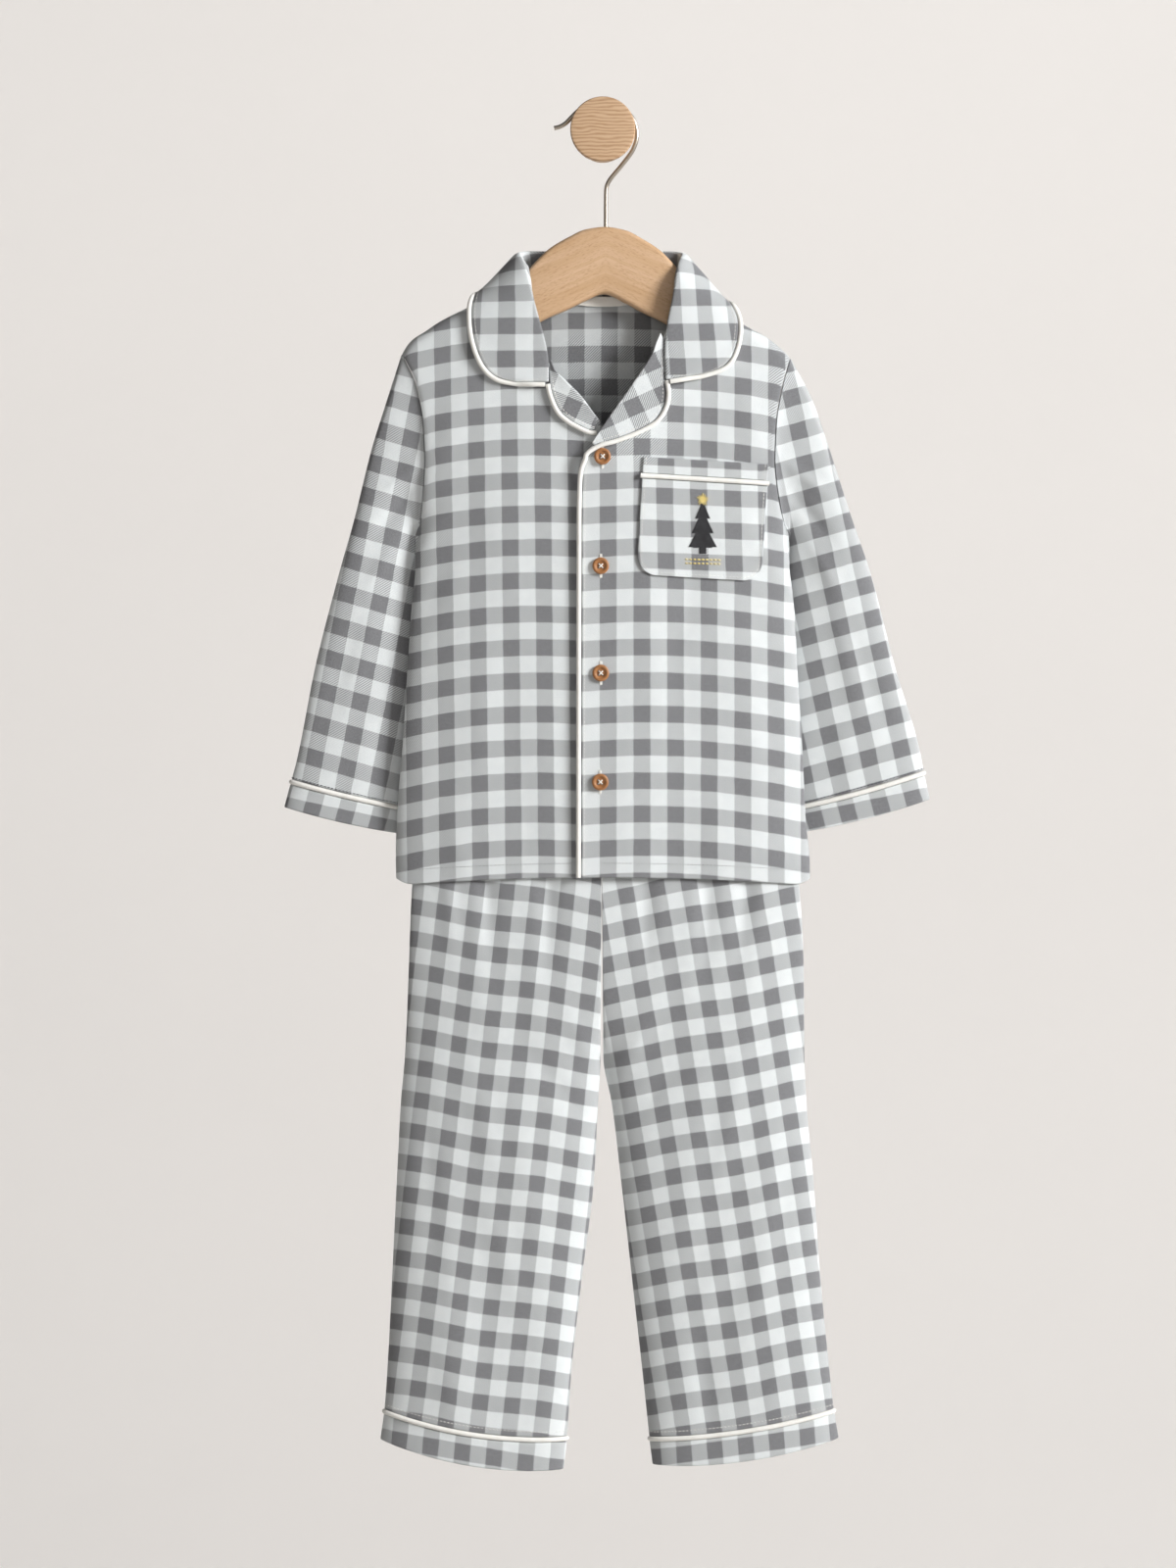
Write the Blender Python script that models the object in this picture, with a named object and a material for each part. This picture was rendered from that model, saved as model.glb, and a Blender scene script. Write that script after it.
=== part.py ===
"""Child's flannel pyjama set, hung on a beech hanger from a turned wall peg.

Metres, +Z up.  The origin is the middle of the peg's flat back, which lies on the wall, the plane y = 0.
The set hangs in front of the wall and faces -Y, so the wearer's left is at +X.
Tables are in millimetres and are scaled by MM when a mesh is made.
"""

import math
from bisect import bisect_right
from collections import namedtuple

import bmesh
import bpy
from mathutils import Vector

MM = 0.001
RIGHT = -1
LEFT = 1
FRONT = -1
BACK = 1
SIDE_NAME = {RIGHT: "right", LEFT: "left"}
FOLD_SHARE = {FRONT: 1.0, BACK: 0.6}
SHARP_ANGLE = math.radians(40)
WELD = 0.01

# Cloth and seams
CLOTH = 1.5
SEAM_GAP = 0.5
LAYER_GAP = 0.5
PIPING_RADIUS = 1.4
PIPING_GAP = 0.45

# The plane of the hanger and of the shoulder and side seams
MID_Y = -30.0

# Hanger, hook and peg
HANGER_THICKNESS = 12.0
HANGER_TOP_X = 2.2
HANGER_TOP_Z = -72.8
HANGER_TILT = math.radians(1.2)
HANGER_ROUNDING = 4.0
HANGER_STATIONS = 28
HOOK_RADIUS = 1.7
HOOK_SOCKET_DEPTH = 14.0
HOOK_SOCKET_CLEARANCE = 0.45
PEG_HEAD_RADIUS = 24.8
PEG_STEM_RADIUS = 18.2
PEG_LENGTH = 54.4

# Buttons
BUTTON_RADIUS = 6.2
BUTTON_THICKNESS = 2.6
BUTTON_HOLE_RADIUS = 0.75
BUTTON_HOLE_SPACING = 1.5

# Jacket
JACKET_HEM_Z = -577.0
HEM_ARCH = 6.0
HEM_CORNER = 5.0
HALF_CHEST = 158.0
RIDGE_HALF = 7.6
RIDGE_ROLL = 7.0
SHOULDER_ROLL = 60.0
UNDERARM_Z = -300.0
NECK_HALF_WIDTH = 60.0
NECK_SEAM_BACK_Z = -127.0
NECK_SEAM_RISE = 22.0
LAP_LIFT = 2.4
LAP_WIDTH = 34.0
LAP_FADE = 50.0
LAP_TOP_Z = -150.0
LAP_TOP_FADE = 70.0
V_LIFT = 2.6
V_POINT = (-3.0, -238.0)
V_SPREAD = 28.0

# Breast pocket, in its own tilted frame
POCKET_CENTRE = (77.6, -266.8)
POCKET_TILT = math.radians(-3.3)
POCKET_WIDTH = 95.5
POCKET_DEPTH = 75.5
POCKET_BAND = 14.4
POCKET_CORNER = 15.0
POCKET_PIPING_OVERHANG = 1.2

# Neck tape
TAPE_HALF_WIDTH = 44.0
TAPE_HEIGHT = 6.4
TAPE_THICKNESS = 1.0

# Trousers
WAIST_Z = -515.0
WAISTBAND_HEIGHT = 25.0
WAIST_GATHERS = 18
GATHER_DEPTH = 1.1
HIP_SEAM_FADE_START = 85.0
CROTCH_DOWN = 194.0
LEG_PIPING_DOWN = 485.0
LEG_HEM_DOWN = 509.0

# Sleeves
SLEEVE_PIPING_DOWN = 340.0
CUFF_HEM_DOWN = 361.0
ARMHOLE_FADE = 150.0
ARMHOLE_GAP = 1.3
UNDERARM_GAP = 2.6


def table(columns, *rows):
    """Rows of numbers under named columns."""
    row_type = namedtuple("Row", columns)
    return [row_type(*row) for row in rows]


# Shoulder line over the hanger, outwards from the neck and on down the sleeve head, on each side
SHOULDER = {
    RIGHT: table(
        "x z",
        (0, -66), (30, -84), (59, -104.8), (80, -119.5), (100, -133.5), (116, -141.5),
        (126, -147), (134, -152.5), (146, -160.5), (153, -170.7), (165, -207), (190, -297),
    ),
    LEFT: table(
        "x z",
        (0, -66), (30, -82), (57.5, -101.5), (80, -121.5), (97, -139), (106.5, -147.5),
        (125, -158), (138.5, -169), (143, -174), (159.5, -205), (190, -295),
    ),
}
SHOULDER_TIP = {RIGHT: 153.0, LEFT: 143.0}

# Side outline of the jacket body down the armhole seam and the side seam
BODY_EDGE = {
    RIGHT: table(
        "z x",
        (-577, 157.5), (-552, 158), (-515, 156.5), (-470, 153), (-410, 149), (-365, 146),
        (-331, 143), (-300, 139.5), (-282, 137.5), (-252, 135.8), (-222, 137.3), (-194, 142.5),
        (-170.7, 153),
    ),
    LEFT: table(
        "z x",
        (-577, 158.5), (-556, 158), (-530, 155.3), (-500, 153.8), (-455, 151.5), (-410, 148.5),
        (-365, 146.5), (-331, 142.5), (-300, 138.5), (-282, 134.5), (-252, 131.3), (-222, 132.6),
        (-194, 137.5), (-174, 143),
    ),
}

# Half width over which the jacket's depth rounds off, and that depth before and behind the mid plane
BODY_SECTION = table(
    "z right left front back",
    (-577, 157.5, 158.5, 13.6, 9.5),
    (-515, 156.5, 154.6, 14, 10),
    (-410, 149, 148.5, 14.2, 10),
    (-331, 143, 142.5, 14, 10),
    (-300, 139.5, 138.5, 14, 10),
    (-285, 143.5, 140.5, 14, 10),
    (-260, 154, 148, 14, 10),
    (-230, 168, 160, 14, 10),
    (-200, 182, 172, 13.8, 10),
    (-171, 200, 190, 13.4, 10),
    (-100, 230, 230, 13, 10),
)

# Inner edge of each front: neckline under the collar, the fold of the lapel, then the front edge
FRONT_EDGE = {
    RIGHT: table(
        "z x",
        (-577, 14), (-262, 14), (-248, 11.5), (-236, 6.5), (-225, 0), (-216, -6.8),
        (-203, -16.5), (-190.5, -28.5), (-181, -39.5), (-171, -44.5), (-150, -50),
        (-130, -55), (-104, -60),
    ),
    LEFT: table(
        "z x",
        (-577, -16.6), (-290, -16), (-263, -15), (-249, -12.2), (-238.5, -7.5), (-229.5, -1.5),
        (-216, 7.3), (-199.5, 19.2), (-184.5, 29.8), (-171, 40), (-162, 45), (-148.5, 50),
        (-130, 55), (-101, 60),
    ),
}

# Soft folds in the hanging cloth: middle, direction from vertical, half length, half width, height
JACKET_FOLDS = table(
    "x z lean length width height",
    (-96, -470, -6, 95, 13, 1.0),
    (-60, -520, 4, 60, 11, -0.8),
    (118, -480, 8, 90, 14, 1.1),
    (86, -535, -3, 45, 12, 0.8),
    (-118, -235, -18, 45, 10, 0.9),
    (112, -222, 20, 40, 10, 0.9),
)
TROUSER_FOLDS = table(
    "x z lean length width height",
    (-92, -610, 3, 80, 12, 1.4),
    (-46, -625, 1, 85, 11, 1.2),
    (34, -625, -2, 80, 11, 1.3),
    (74, -610, -2, 75, 12, 1.3),
    (112, -640, -6, 85, 12, 1.2),
    (-60, -800, 10, 110, 14, 1.5),
    (-112, -905, 8, 95, 14, 1.3),
    (70, -790, -8, 110, 14, 1.4),
    (118, -900, -10, 95, 14, 1.4),
)

# Collar stations from the front corner round to the back of the neck: foot of the stand, rolled edge, outer
# edge, and the radius of the roll
COLLAR_COLUMNS = "foot_x foot_y foot_z roll_x roll_y roll_z edge_x edge_y edge_z radius"
COLLAR = {
    RIGHT: table(
        COLLAR_COLUMNS,
        (-46.5, -47, -192.0, -42.0, -48, -192.6, -66.0, -47.0, -192.4, 1.0),
        (-46.5, -47, -188.0, -42.0, -48, -188.5, -79.5, -46.6, -189.3, 1.0),
        (-47.0, -47, -181.5, -42.2, -48, -181.5, -88.5, -45.8, -182.3, 1.0),
        (-48.0, -47, -170.0, -43.2, -48, -170.0, -95.0, -45.4, -170.5, 1.0),
        (-51.0, -47, -155.0, -46.6, -48, -155.0, -99.2, -44.4, -154.5, 1.0),
        (-55.0, -46, -138.5, -51.2, -47, -138.0, -100.2, -41.5, -138.0, 1.1),
        (-54.6, -44.0, -120.5, -56.0, -45.2, -117.5, -98.6, -39.0, -128.5, 1.4),
        (-56.4, -38.4, -106.5, -60.8, -38.5, -101.5, -96.0, -31.5, -123.5, 1.8),
        (-58.6, -30.0, -102.0, -64.0, -29.5, -94.0, -92.0, -22.0, -122.0, 2.1),
        (-56.8, -22.8, -104.2, -61.5, -22.0, -91.8, -87.0, -17.0, -125.0, 2.4),
        (-46.0, -20.6, -112.4, -52.0, -17.8, -91.0, -72.0, -14.2, -131.0, 2.7),
        (-26.0, -20.2, -121.8, -30.0, -16.6, -91.0, -39.0, -13.2, -139.0, 3.0),
    ),
    LEFT: table(
        COLLAR_COLUMNS,
        (53.5, -47, -190.0, 49.0, -48, -190.8, 75.0, -47.0, -186.6, 1.0),
        (53.3, -47, -186.5, 48.8, -48, -187.0, 89.5, -46.2, -181.8, 1.0),
        (53.2, -47, -179.5, 48.6, -48, -179.5, 97.0, -45.6, -175.5, 1.0),
        (53.0, -47, -167.5, 48.4, -48, -167.5, 101.4, -45.0, -165.8, 1.0),
        (54.2, -47, -151.5, 49.6, -48, -151.5, 103.6, -43.6, -153.0, 1.0),
        (56.8, -45, -135.0, 52.8, -46.5, -134.5, 102.4, -40.4, -142.0, 1.1),
        (55.0, -44.3, -118.5, 56.0, -45.2, -115.5, 98.5, -38.6, -133.5, 1.4),
        (56.6, -38.4, -106.5, 58.8, -38.0, -101.0, 95.5, -31.0, -130.0, 1.8),
        (58.8, -30.0, -102.4, 61.5, -29.0, -94.5, 92.0, -22.0, -127.5, 2.1),
        (57.0, -22.8, -104.6, 59.5, -22.0, -92.2, 86.0, -17.0, -129.0, 2.4),
        (46.0, -20.6, -112.4, 51.0, -17.8, -91.0, 72.0, -14.2, -134.0, 2.7),
        (26.0, -20.2, -121.8, 30.0, -16.6, -91.0, 39.0, -13.2, -140.0, 3.0),
    ),
}
COLLAR_BACK = table(COLLAR_COLUMNS, (0, -20.0, -126.0, 0, -16.2, -91.0, 0, -12.8, -142.5, 3.0))[0]
FIRST_SIDE_STATION_Y = -45.5
COLLAR_UNDER_CLEARANCE = 2.0
COLLAR_ROLL_CLEARANCE = 4.2
COLLAR_EDGE_CLEARANCE = 3.3
COLLAR_SETTLE = (7.0, 28.0)
NECK_CENTRE_Y = -34.0
FALL_BULGE = 1.2
FALL_COLUMNS = 4
NOTCH_SHARE = 0.4

# Lapel facings, from the gorge down to the top of the front edge: the fold and the outer edge
LAPEL = {
    RIGHT: table(
        "fold_x fold_z edge_x edge_z",
        (-39.6, -175.5, -40.2, -178.5),
        (-36.3, -183.5, -40.3, -188.0),
        (-32.4, -187.5, -40.0, -194.0),
        (-28.3, -191.5, -37.8, -203.5),
        (-22.3, -197.5, -32.6, -214.5),
        (-16.3, -204.0, -25.6, -221.0),
        (-11.3, -210.3, -17.6, -225.7),
        (-6.6, -216.7, -9.8, -229.2),
        (-4.4, -220.0, -6.4, -229.4),
    ),
    LEFT: table(
        "fold_x fold_z edge_x edge_z",
        (44.0, -155.0, 45.9, -158.5),
        (40.6, -162.5, 46.2, -170.5),
        (37.6, -171.0, 46.6, -183.0),
        (31.0, -181.7, 47.0, -191.8),
        (25.0, -190.5, 48.3, -201.0),
        (19.0, -199.5, 46.8, -211.0),
        (13.2, -207.7, 41.2, -220.3),
        (7.2, -215.9, 32.5, -226.4),
        (2.3, -223.0, 21.0, -231.8),
        (-1.8, -229.3, 8.4, -236.4),
        (-6.0, -235.8, -2.6, -239.4),
        (-8.2, -239.3, -6.8, -241.2),
    ),
}
LAPEL_FOLD_LIFT = 1.5

# Heights of the left front's edge piping below the lapel, and how soon it leaves the cloth's face
FRONT_PIPING_ROWS = [
    -247.0, -252.0, -258.0, -265.0, -275.0, -290.0, -315.0, -340.0, -365.0, -390.0, -420.0, -450.0, -480.0,
    -510.0, -540.0,
]
FRONT_PIPING_SETTLE = 16.0
EDGE_PIPING_PROUD = 0.4

# Sleeves: the outer and inner folds of the flattened tube and how far it swells before and behind them
SLEEVE = {
    RIGHT: table(
        "down outer_x outer_y outer_z inner_x inner_y inner_z front back sag",
        (0, -153.5, -30, -171, -139.5, -30, -301, 13, 9, 0),
        (38, -165, -29.5, -207, -144.5, -24, -311, 13, 10, 0),
        (76, -176.3, -28.5, -243, -143, -18.5, -326, 13, 12, 0),
        (132, -189.8, -27, -297, -138, -14.5, -352, 12.5, 11, 0),
        (179, -202.5, -25, -342, -135.5, -13.5, -382, 11, 9, 0),
        (250, -219.8, -22, -409.5, -134, -13, -440, 9.5, 7.5, 0),
        (322, -234, -20, -480.8, -134.5, -13, -503.5, 8, 7, 1.0),
        (340, -238.6, -20, -498, -135, -13, -521.5, 7.8, 6.8, 1.5),
        (361, -243.8, -20, -517.5, -138, -13, -540, 7.6, 6.6, 2.5),
    ),
    LEFT: table(
        "down outer_x outer_y outer_z inner_x inner_y inner_z front back sag",
        (0, 143.5, -30, -174.5, 138.5, -30, -301, 13, 9, 0),
        (38, 159.5, -29.5, -205, 143.5, -24, -311, 13, 10, 0),
        (76, 172, -28.5, -240, 142, -18.5, -326, 13, 12, 0),
        (132, 190, -27, -295, 137.5, -14.5, -352, 12.5, 11, 0),
        (179, 205, -25, -339, 135.5, -13.5, -381, 11, 9, 0),
        (250, 223.5, -22, -409.5, 134, -13, -437, 9.5, 7.5, 0),
        (322, 242.3, -20, -472, 136, -13, -500, 8, 7, 1.5),
        (340, 246, -20, -491.3, 137, -13, -520.5, 7.8, 6.8, 2),
        (361, 250.4, -20, -511.5, 140, -13, -538.5, 7.6, 6.6, 3),
    ),
}

# Trouser legs: the inner fold (the centre seam above the crotch) and the outer fold of each flattened tube
LEG = {
    RIGHT: table(
        "down outer_x outer_y outer_z inner_x inner_y inner_z front back sag",
        (0, -122, -31, -515, -0.95, -31, -515, 8, 5.5, 0),
        (30, -139, -31, -545, -0.95, -31, -545, 8.5, 6, 0),
        (63, -145.5, -31, -578, -0.95, -31, -578, 9, 6.5, 0),
        (125, -148, -31, -640, -1.35, -31, -640, 11, 8, 0),
        (165, -149.5, -30.5, -680, -2.0, -30.5, -680, 12.5, 9, 0),
        (194, -151, -30, -709, -2.2, -30, -709, 13, 9.5, 0),
        (229, -154, -30, -743, -4.2, -30, -744, 14, 10, 0),
        (285, -156.8, -30, -796, -7, -30, -800, 14.5, 10.5, 0),
        (367, -160.3, -30, -868, -17, -30, -882, 14.5, 11, 2),
        (434, -163.5, -30, -933, -24.5, -30, -949.5, 14, 11, 4.5),
        (485, -166.7, -30, -980, -28, -30, -1000.5, 13, 10.5, 6.6),
        (509, -169.6, -30, -1001.5, -30.6, -30, -1024, 13, 10.5, 8),
    ),
    LEFT: table(
        "down outer_x outer_y outer_z inner_x inner_y inner_z front back sag",
        (0, 122.5, -31, -515, -0.55, -31, -515, 8, 5.5, 0),
        (30, 142, -31, -545, -0.55, -31, -545, 8.5, 6, 0),
        (63, 150, -31, -578, -0.55, -31, -578, 9, 6.5, 0),
        (125, 153.4, -31, -640, 0.05, -31, -640, 11, 8, 0),
        (165, 153.7, -30.5, -680, 0.7, -30.5, -680, 12.5, 9, 0),
        (194, 154, -30, -709, 1.0, -30, -709, 13, 9.5, 0),
        (229, 155.5, -30, -744, 7.5, -30, -744, 14, 10, 0),
        (285, 160.5, -30, -798, 14.3, -30, -800, 14.5, 10.5, 0),
        (367, 166, -30, -875, 23.4, -30, -882, 14.5, 11, 1.5),
        (434, 172, -30, -938, 31, -30, -949.5, 14, 11, 3),
        (485, 176.6, -30, -979.5, 36.5, -30, -1000.8, 13, 10.5, 4.2),
        (509, 180, -30, -1000.5, 39, -30, -1020.5, 13, 10.5, 6.5),
    ),
}

# Hanger outline at distances from its middle: how far the top and the lower edge drop from the top point
HANGER = table(
    "out top bottom",
    (0, 0, 51.5), (15, 2.2, 57.5), (28.5, 8.6, 64.5), (42, 17, 70.5), (52, 26.6, 76),
    (60, 35.6, 80.5), (80, 52.5, 91), (97, 69, 101), (110, 84, 108), (118, 94, 110),
)

# Hook wire from its turned-out tip, over the peg's stem and down into the hanger
HOOK = table(
    "x z",
    (-37.2, 3), (-33, 4), (-28.5, 6.6), (-23.5, 11.6), (-18.8, 16.2), (-12, 19.6), (-3, 20.9),
    (6, 20.4), (14, 18), (20.3, 13.8), (24.6, 7), (26.2, -3), (23.2, -13.5), (15.4, -24.5),
    (7.5, -34), (3.9, -39.4), (2.7, -44), (2.5, -52), (2.4, -84.5),
)

# Peg turned about the y axis: distance from the wall and radius
PEG = table(
    "out radius",
    (0, 20.5), (2.5, 20.5), (6, 18.6), (12, PEG_STEM_RADIUS), (34, PEG_STEM_RADIUS),
    (39.5, 20.0), (42, 22.8), (43.5, PEG_HEAD_RADIUS), (52.8, PEG_HEAD_RADIUS), (54, 23.8),
)

# Buttons down the middle of the lap
BUTTONS = table("x z", (-0.2, -249.6), (-1.5, -333.0), (-1.5, -414.8), (-1.9, -498.0))

# Turned button: radius and height above its flat back
BUTTON_PROFILE = table(
    "radius height",
    (0, 1.5), (3.3, 1.5), (4.1, 2.5), (5.2, BUTTON_THICKNESS), (BUTTON_RADIUS, 1.9), (5.9, 0.5),
    (5.0, 0), (0, 0),
)

COLOURS = {
    "flannel": ((0.42, 0.43, 0.44, 1), 0.95, 0.0),
    "piping": ((0.86, 0.83, 0.76, 1), 0.85, 0.0),
    "tape": ((0.78, 0.78, 0.74, 1), 0.9, 0.0),
    "button": ((0.40, 0.19, 0.07, 1), 0.5, 0.0),
    "beech": ((0.66, 0.43, 0.25, 1), 0.55, 0.0),
    "pine": ((0.62, 0.42, 0.26, 1), 0.6, 0.0),
    "wire": ((0.62, 0.58, 0.52, 1), 0.3, 1.0),
}


class Curve:
    """Smooth curve through one column of a table, read by another column, that never swings past its rows."""

    def __init__(self, rows, key, column):
        points = sorted((getattr(row, key), getattr(row, column)) for row in rows)
        self.keys = [point[0] for point in points]
        self.values = [point[1] for point in points]
        slopes = [
            (self.values[i + 1] - self.values[i]) / (self.keys[i + 1] - self.keys[i])
            for i in range(len(points) - 1)
        ]
        self.tangents = [slopes[0]]
        for before, after in zip(slopes, slopes[1:]):
            same_way = before * after > 0
            self.tangents.append(2 * before * after / (before + after) if same_way else 0.0)
        self.tangents.append(slopes[-1])

    def __call__(self, at):
        at = min(max(at, self.keys[0]), self.keys[-1])
        i = min(max(bisect_right(self.keys, at) - 1, 0), len(self.keys) - 2)
        span = self.keys[i + 1] - self.keys[i]
        t = (at - self.keys[i]) / span
        rise = (3 - 2 * t) * t * t
        return (
            self.values[i] * (1 - rise)
            + self.values[i + 1] * rise
            + self.tangents[i] * span * t * (1 - t) ** 2
            - self.tangents[i + 1] * span * t * t * (1 - t)
        )


def curves(rows, key):
    """One curve for each column of a table."""
    return {column: Curve(rows, key, column) for column in rows[0]._fields if column != key}


SHOULDER_Z = {side: Curve(SHOULDER[side], "x", "z") for side in SHOULDER}
BODY_X = {side: Curve(BODY_EDGE[side], "z", "x") for side in BODY_EDGE}
SECTION = curves(BODY_SECTION, "z")
FRONT_X = {side: Curve(FRONT_EDGE[side], "z", "x") for side in FRONT_EDGE}
SLEEVE_CURVES = {side: curves(SLEEVE[side], "down") for side in SLEEVE}
LEG_CURVES = {side: curves(LEG[side], "down") for side in LEG}


def lerp(a, b, t):
    return a + (b - a) * t


def ease(t):
    """0 to 1 with level ends."""
    t = min(max(t, 0.0), 1.0)
    return t * t * (3 - 2 * t)


def quarter(t):
    """Quarter round: 0 at 0 with an upright start, 1 from 1 on."""
    return math.sqrt(1 - (1 - min(max(t, 0.0), 1.0)) ** 2)


def flat_round(s):
    """Height of a flattened section: 1 in the middle, rounding to 0 at s = -1 and s = 1."""
    return math.sqrt(max(1 - abs(s) ** 3, 0.0))


def fold_height(folds, x, z):
    """Height of the soft folds at a place."""
    height = 0.0
    for fold in folds:
        lean = math.radians(fold.lean)
        across = (x - fold.x) * math.cos(lean) + (z - fold.z) * math.sin(lean)
        along = (z - fold.z) * math.cos(lean) - (x - fold.x) * math.sin(lean)
        height += fold.height * math.exp(-((across / fold.width) ** 2) - (along / fold.length) ** 2)
    return height


# ---- Meshes ----


def object_from(name, vertices, faces, material):
    """Object from vertices in millimetres and faces, with its faces turned outwards."""
    mesh = bpy.data.meshes.new(name)
    mesh.from_pydata([Vector(vertex) * MM for vertex in vertices], [], faces)
    solid = bmesh.new()
    solid.from_mesh(mesh)
    bmesh.ops.recalc_face_normals(solid, faces=solid.faces)
    solid.to_mesh(mesh)
    solid.free()
    obj = bpy.data.objects.new(name, mesh)
    bpy.context.scene.collection.objects.link(obj)
    mesh.materials.append(material)
    mesh.shade_smooth()
    mesh.set_sharp_from_angle(angle=SHARP_ANGLE)
    return obj


def wall(name, points, normals, thickness, material, closed=False):
    """Cloth wall about a grid of middle points and their normals. closed joins the last column to the first."""
    rows, columns = len(points), len(points[0])
    half = thickness / 2
    vertices = []
    for sign in (1, -1):
        for row, row_normals in zip(points, normals):
            vertices += [point + normal * (half * sign) for point, normal in zip(row, row_normals)]
    inner = rows * columns

    def at(row, column):
        return row * columns + column % columns

    faces = []
    spans = columns if closed else columns - 1
    for row in range(rows - 1):
        for column in range(spans):
            quad = (at(row, column), at(row + 1, column), at(row + 1, column + 1), at(row, column + 1))
            faces.append(quad)
            faces.append(tuple(inner + corner for corner in reversed(quad)))
    for column in range(spans):
        for row in (0, rows - 1):
            a, b = at(row, column), at(row, column + 1)
            faces.append((a, b, inner + b, inner + a))
    if not closed:
        for row in range(rows - 1):
            for column in (0, columns - 1):
                a, b = at(row, column), at(row + 1, column)
                faces.append((a, b, inner + b, inner + a))
    return object_from(name, vertices, faces, material)


def surface_normal(surface, u, v, closed=False):
    """Normal of a surface by small steps along its two directions."""
    step = 0.008
    low_u, high_u = (u - step, u + step) if closed else (max(u - step, 0), min(u + step, 1))
    low_v, high_v = max(v - step, 0), min(v + step, 1)
    along_u = surface(high_u, v) - surface(low_u, v)
    along_v = surface(u, high_v) - surface(u, low_v)
    return along_u.cross(along_v).normalized()


def panel(name, surface, us, vs, material, thickness=CLOTH, closed=False, flatness=None):
    """Cloth panel on a surface, at the given steps across it and down it.

    flatness tells how far a point's rim is to lie flat on the mid plane: 1 puts its thickness in that plane.
    """
    points = [[surface(u, v) for u in us] for v in vs]
    normals = [[surface_normal(surface, u, v, closed) for u in us] for v in vs]
    if flatness:
        for i, v in enumerate(vs):
            for j, u in enumerate(us):
                flat = flatness(u, v, points[i][j])
                normals[i][j].y *= 1 - flat
                normals[i][j].normalize()
    return wall(name, points, normals, thickness, material, closed)


def grid_normals(points):
    """Normals of a grid of points from their neighbours."""
    last_row, last_column = len(points) - 1, len(points[0]) - 1
    normals = []
    for i, row in enumerate(points):
        normals.append([])
        for j, _ in enumerate(row):
            across = row[min(j + 1, last_column)] - row[max(j - 1, 0)]
            down = points[min(i + 1, last_row)][j] - points[max(i - 1, 0)][j]
            normals[-1].append(across.cross(down).normalized())
    return normals


def cord(name, points, radius, material, closed=False, resolution=1):
    """Round cord along a path, with flat ends unless it is closed."""
    data = bpy.data.curves.new(name, "CURVE")
    data.dimensions = "3D"
    data.bevel_depth = radius * MM
    data.bevel_resolution = resolution
    data.use_fill_caps = not closed
    spline = data.splines.new("POLY")
    spline.points.add(len(points) - 1)
    for target, point in zip(spline.points, points):
        target.co = (*(Vector(point) * MM), 1)
    spline.use_cyclic_u = closed
    spline.use_smooth = True
    obj = bpy.data.objects.new(name, data)
    bpy.context.scene.collection.objects.link(obj)
    data.materials.append(material)
    return obj


def beside(points, normals, off):
    """Path beside the edge of a cloth, in its surface and the same distance off all along."""
    path = []
    last = len(points) - 1
    for i, (point, normal) in enumerate(zip(points, normals)):
        before = (points[i] - points[i - 1]).cross(normal).normalized() if i else None
        after = (points[i + 1] - points[i]).cross(normal).normalized() if i < last else None
        before, after = before or after, after or before
        path.append(point + (before + after) * (off / (1 + before.dot(after))))
    return path


def steps(count, spacing=lambda t: t):
    """Steps from 0 to 1."""
    return [spacing(i / count) for i in range(count + 1)]


def dense_ends(t):
    return (1 - math.cos(t * math.pi)) / 2


# Columns of the body's panels, and rows as parts of their height: close over the hanger and round the V
FRONT_COLUMNS = [0, 0.06, 0.13, 0.22, 0.35, 0.5, 0.67, 0.83, 0.94, 1]
FRONT_ROWS = [
    0, 0.005, 0.013, 0.026, 0.05, 0.085, 0.125, 0.165, 0.205, 0.24, 0.275, 0.31, 0.345, 0.385, 0.44, 0.52,
    0.6, 0.69, 0.78, 0.87, 0.94, 1,
]
BACK_NECK_COLUMNS = [24, 44, 55, 58.7, NECK_HALF_WIDTH]
BACK_SHOULDER_COLUMNS = [0.17, 0.38, 0.62, 0.85, 1]
BACK_ROWS = [0, 0.005, 0.013, 0.026, 0.05, 0.09, 0.15, 0.22, 0.3, 0.38, 0.46, 0.55, 0.64, 0.73, 0.82, 0.91, 1]


# ---- Jacket body ----


def side_of(x):
    return LEFT if x > 0 else RIGHT


def shoulder_z(x):
    return SHOULDER_Z[side_of(x)](abs(x))


def body_edge_x(side, z):
    """Outer edge of the body at a height: the armhole, then the side seam; above its tip, the tip's place."""
    return side * BODY_X[side](z)


def body_depth(face, x, z):
    """How far the body's front or back stands from the mid plane at a place."""
    half = SECTION["left" if x > 0 else "right"](z)
    depth = SECTION["front" if face == FRONT else "back"](z)
    drop = shoulder_z(x) - z
    swell = RIDGE_HALF * quarter(drop / RIDGE_ROLL) + (depth - RIDGE_HALF) * quarter(drop / SHOULDER_ROLL)
    return swell * flat_round(min(abs(x) / half, 1))


def lap_lift(x, z):
    """How far the left front stands off where it laps over the right one, most at the foot of the V."""
    lap = 1 - ease((x - FRONT_X[LEFT](z) - LAP_WIDTH) / LAP_FADE)
    lap *= ease((LAP_TOP_Z - z) / LAP_TOP_FADE)
    away = ((x - V_POINT[0]) ** 2 + (z - V_POINT[1]) ** 2) / V_SPREAD ** 2
    return LAP_LIFT * lap + V_LIFT * math.exp(-away)


def body_y(face, side, x, z):
    """Middle of the body's cloth at a place on its front or back."""
    off = SEAM_GAP / 2 + body_depth(face, x, z)
    if face == FRONT:
        off += lap_lift(x, z) if side == LEFT else 0.0
    folds = fold_height(JACKET_FOLDS, -face * x, z) * flat_round(min(abs(x) / HALF_CHEST, 1))
    return MID_Y + face * (off + folds * FOLD_SHARE[face])


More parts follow.
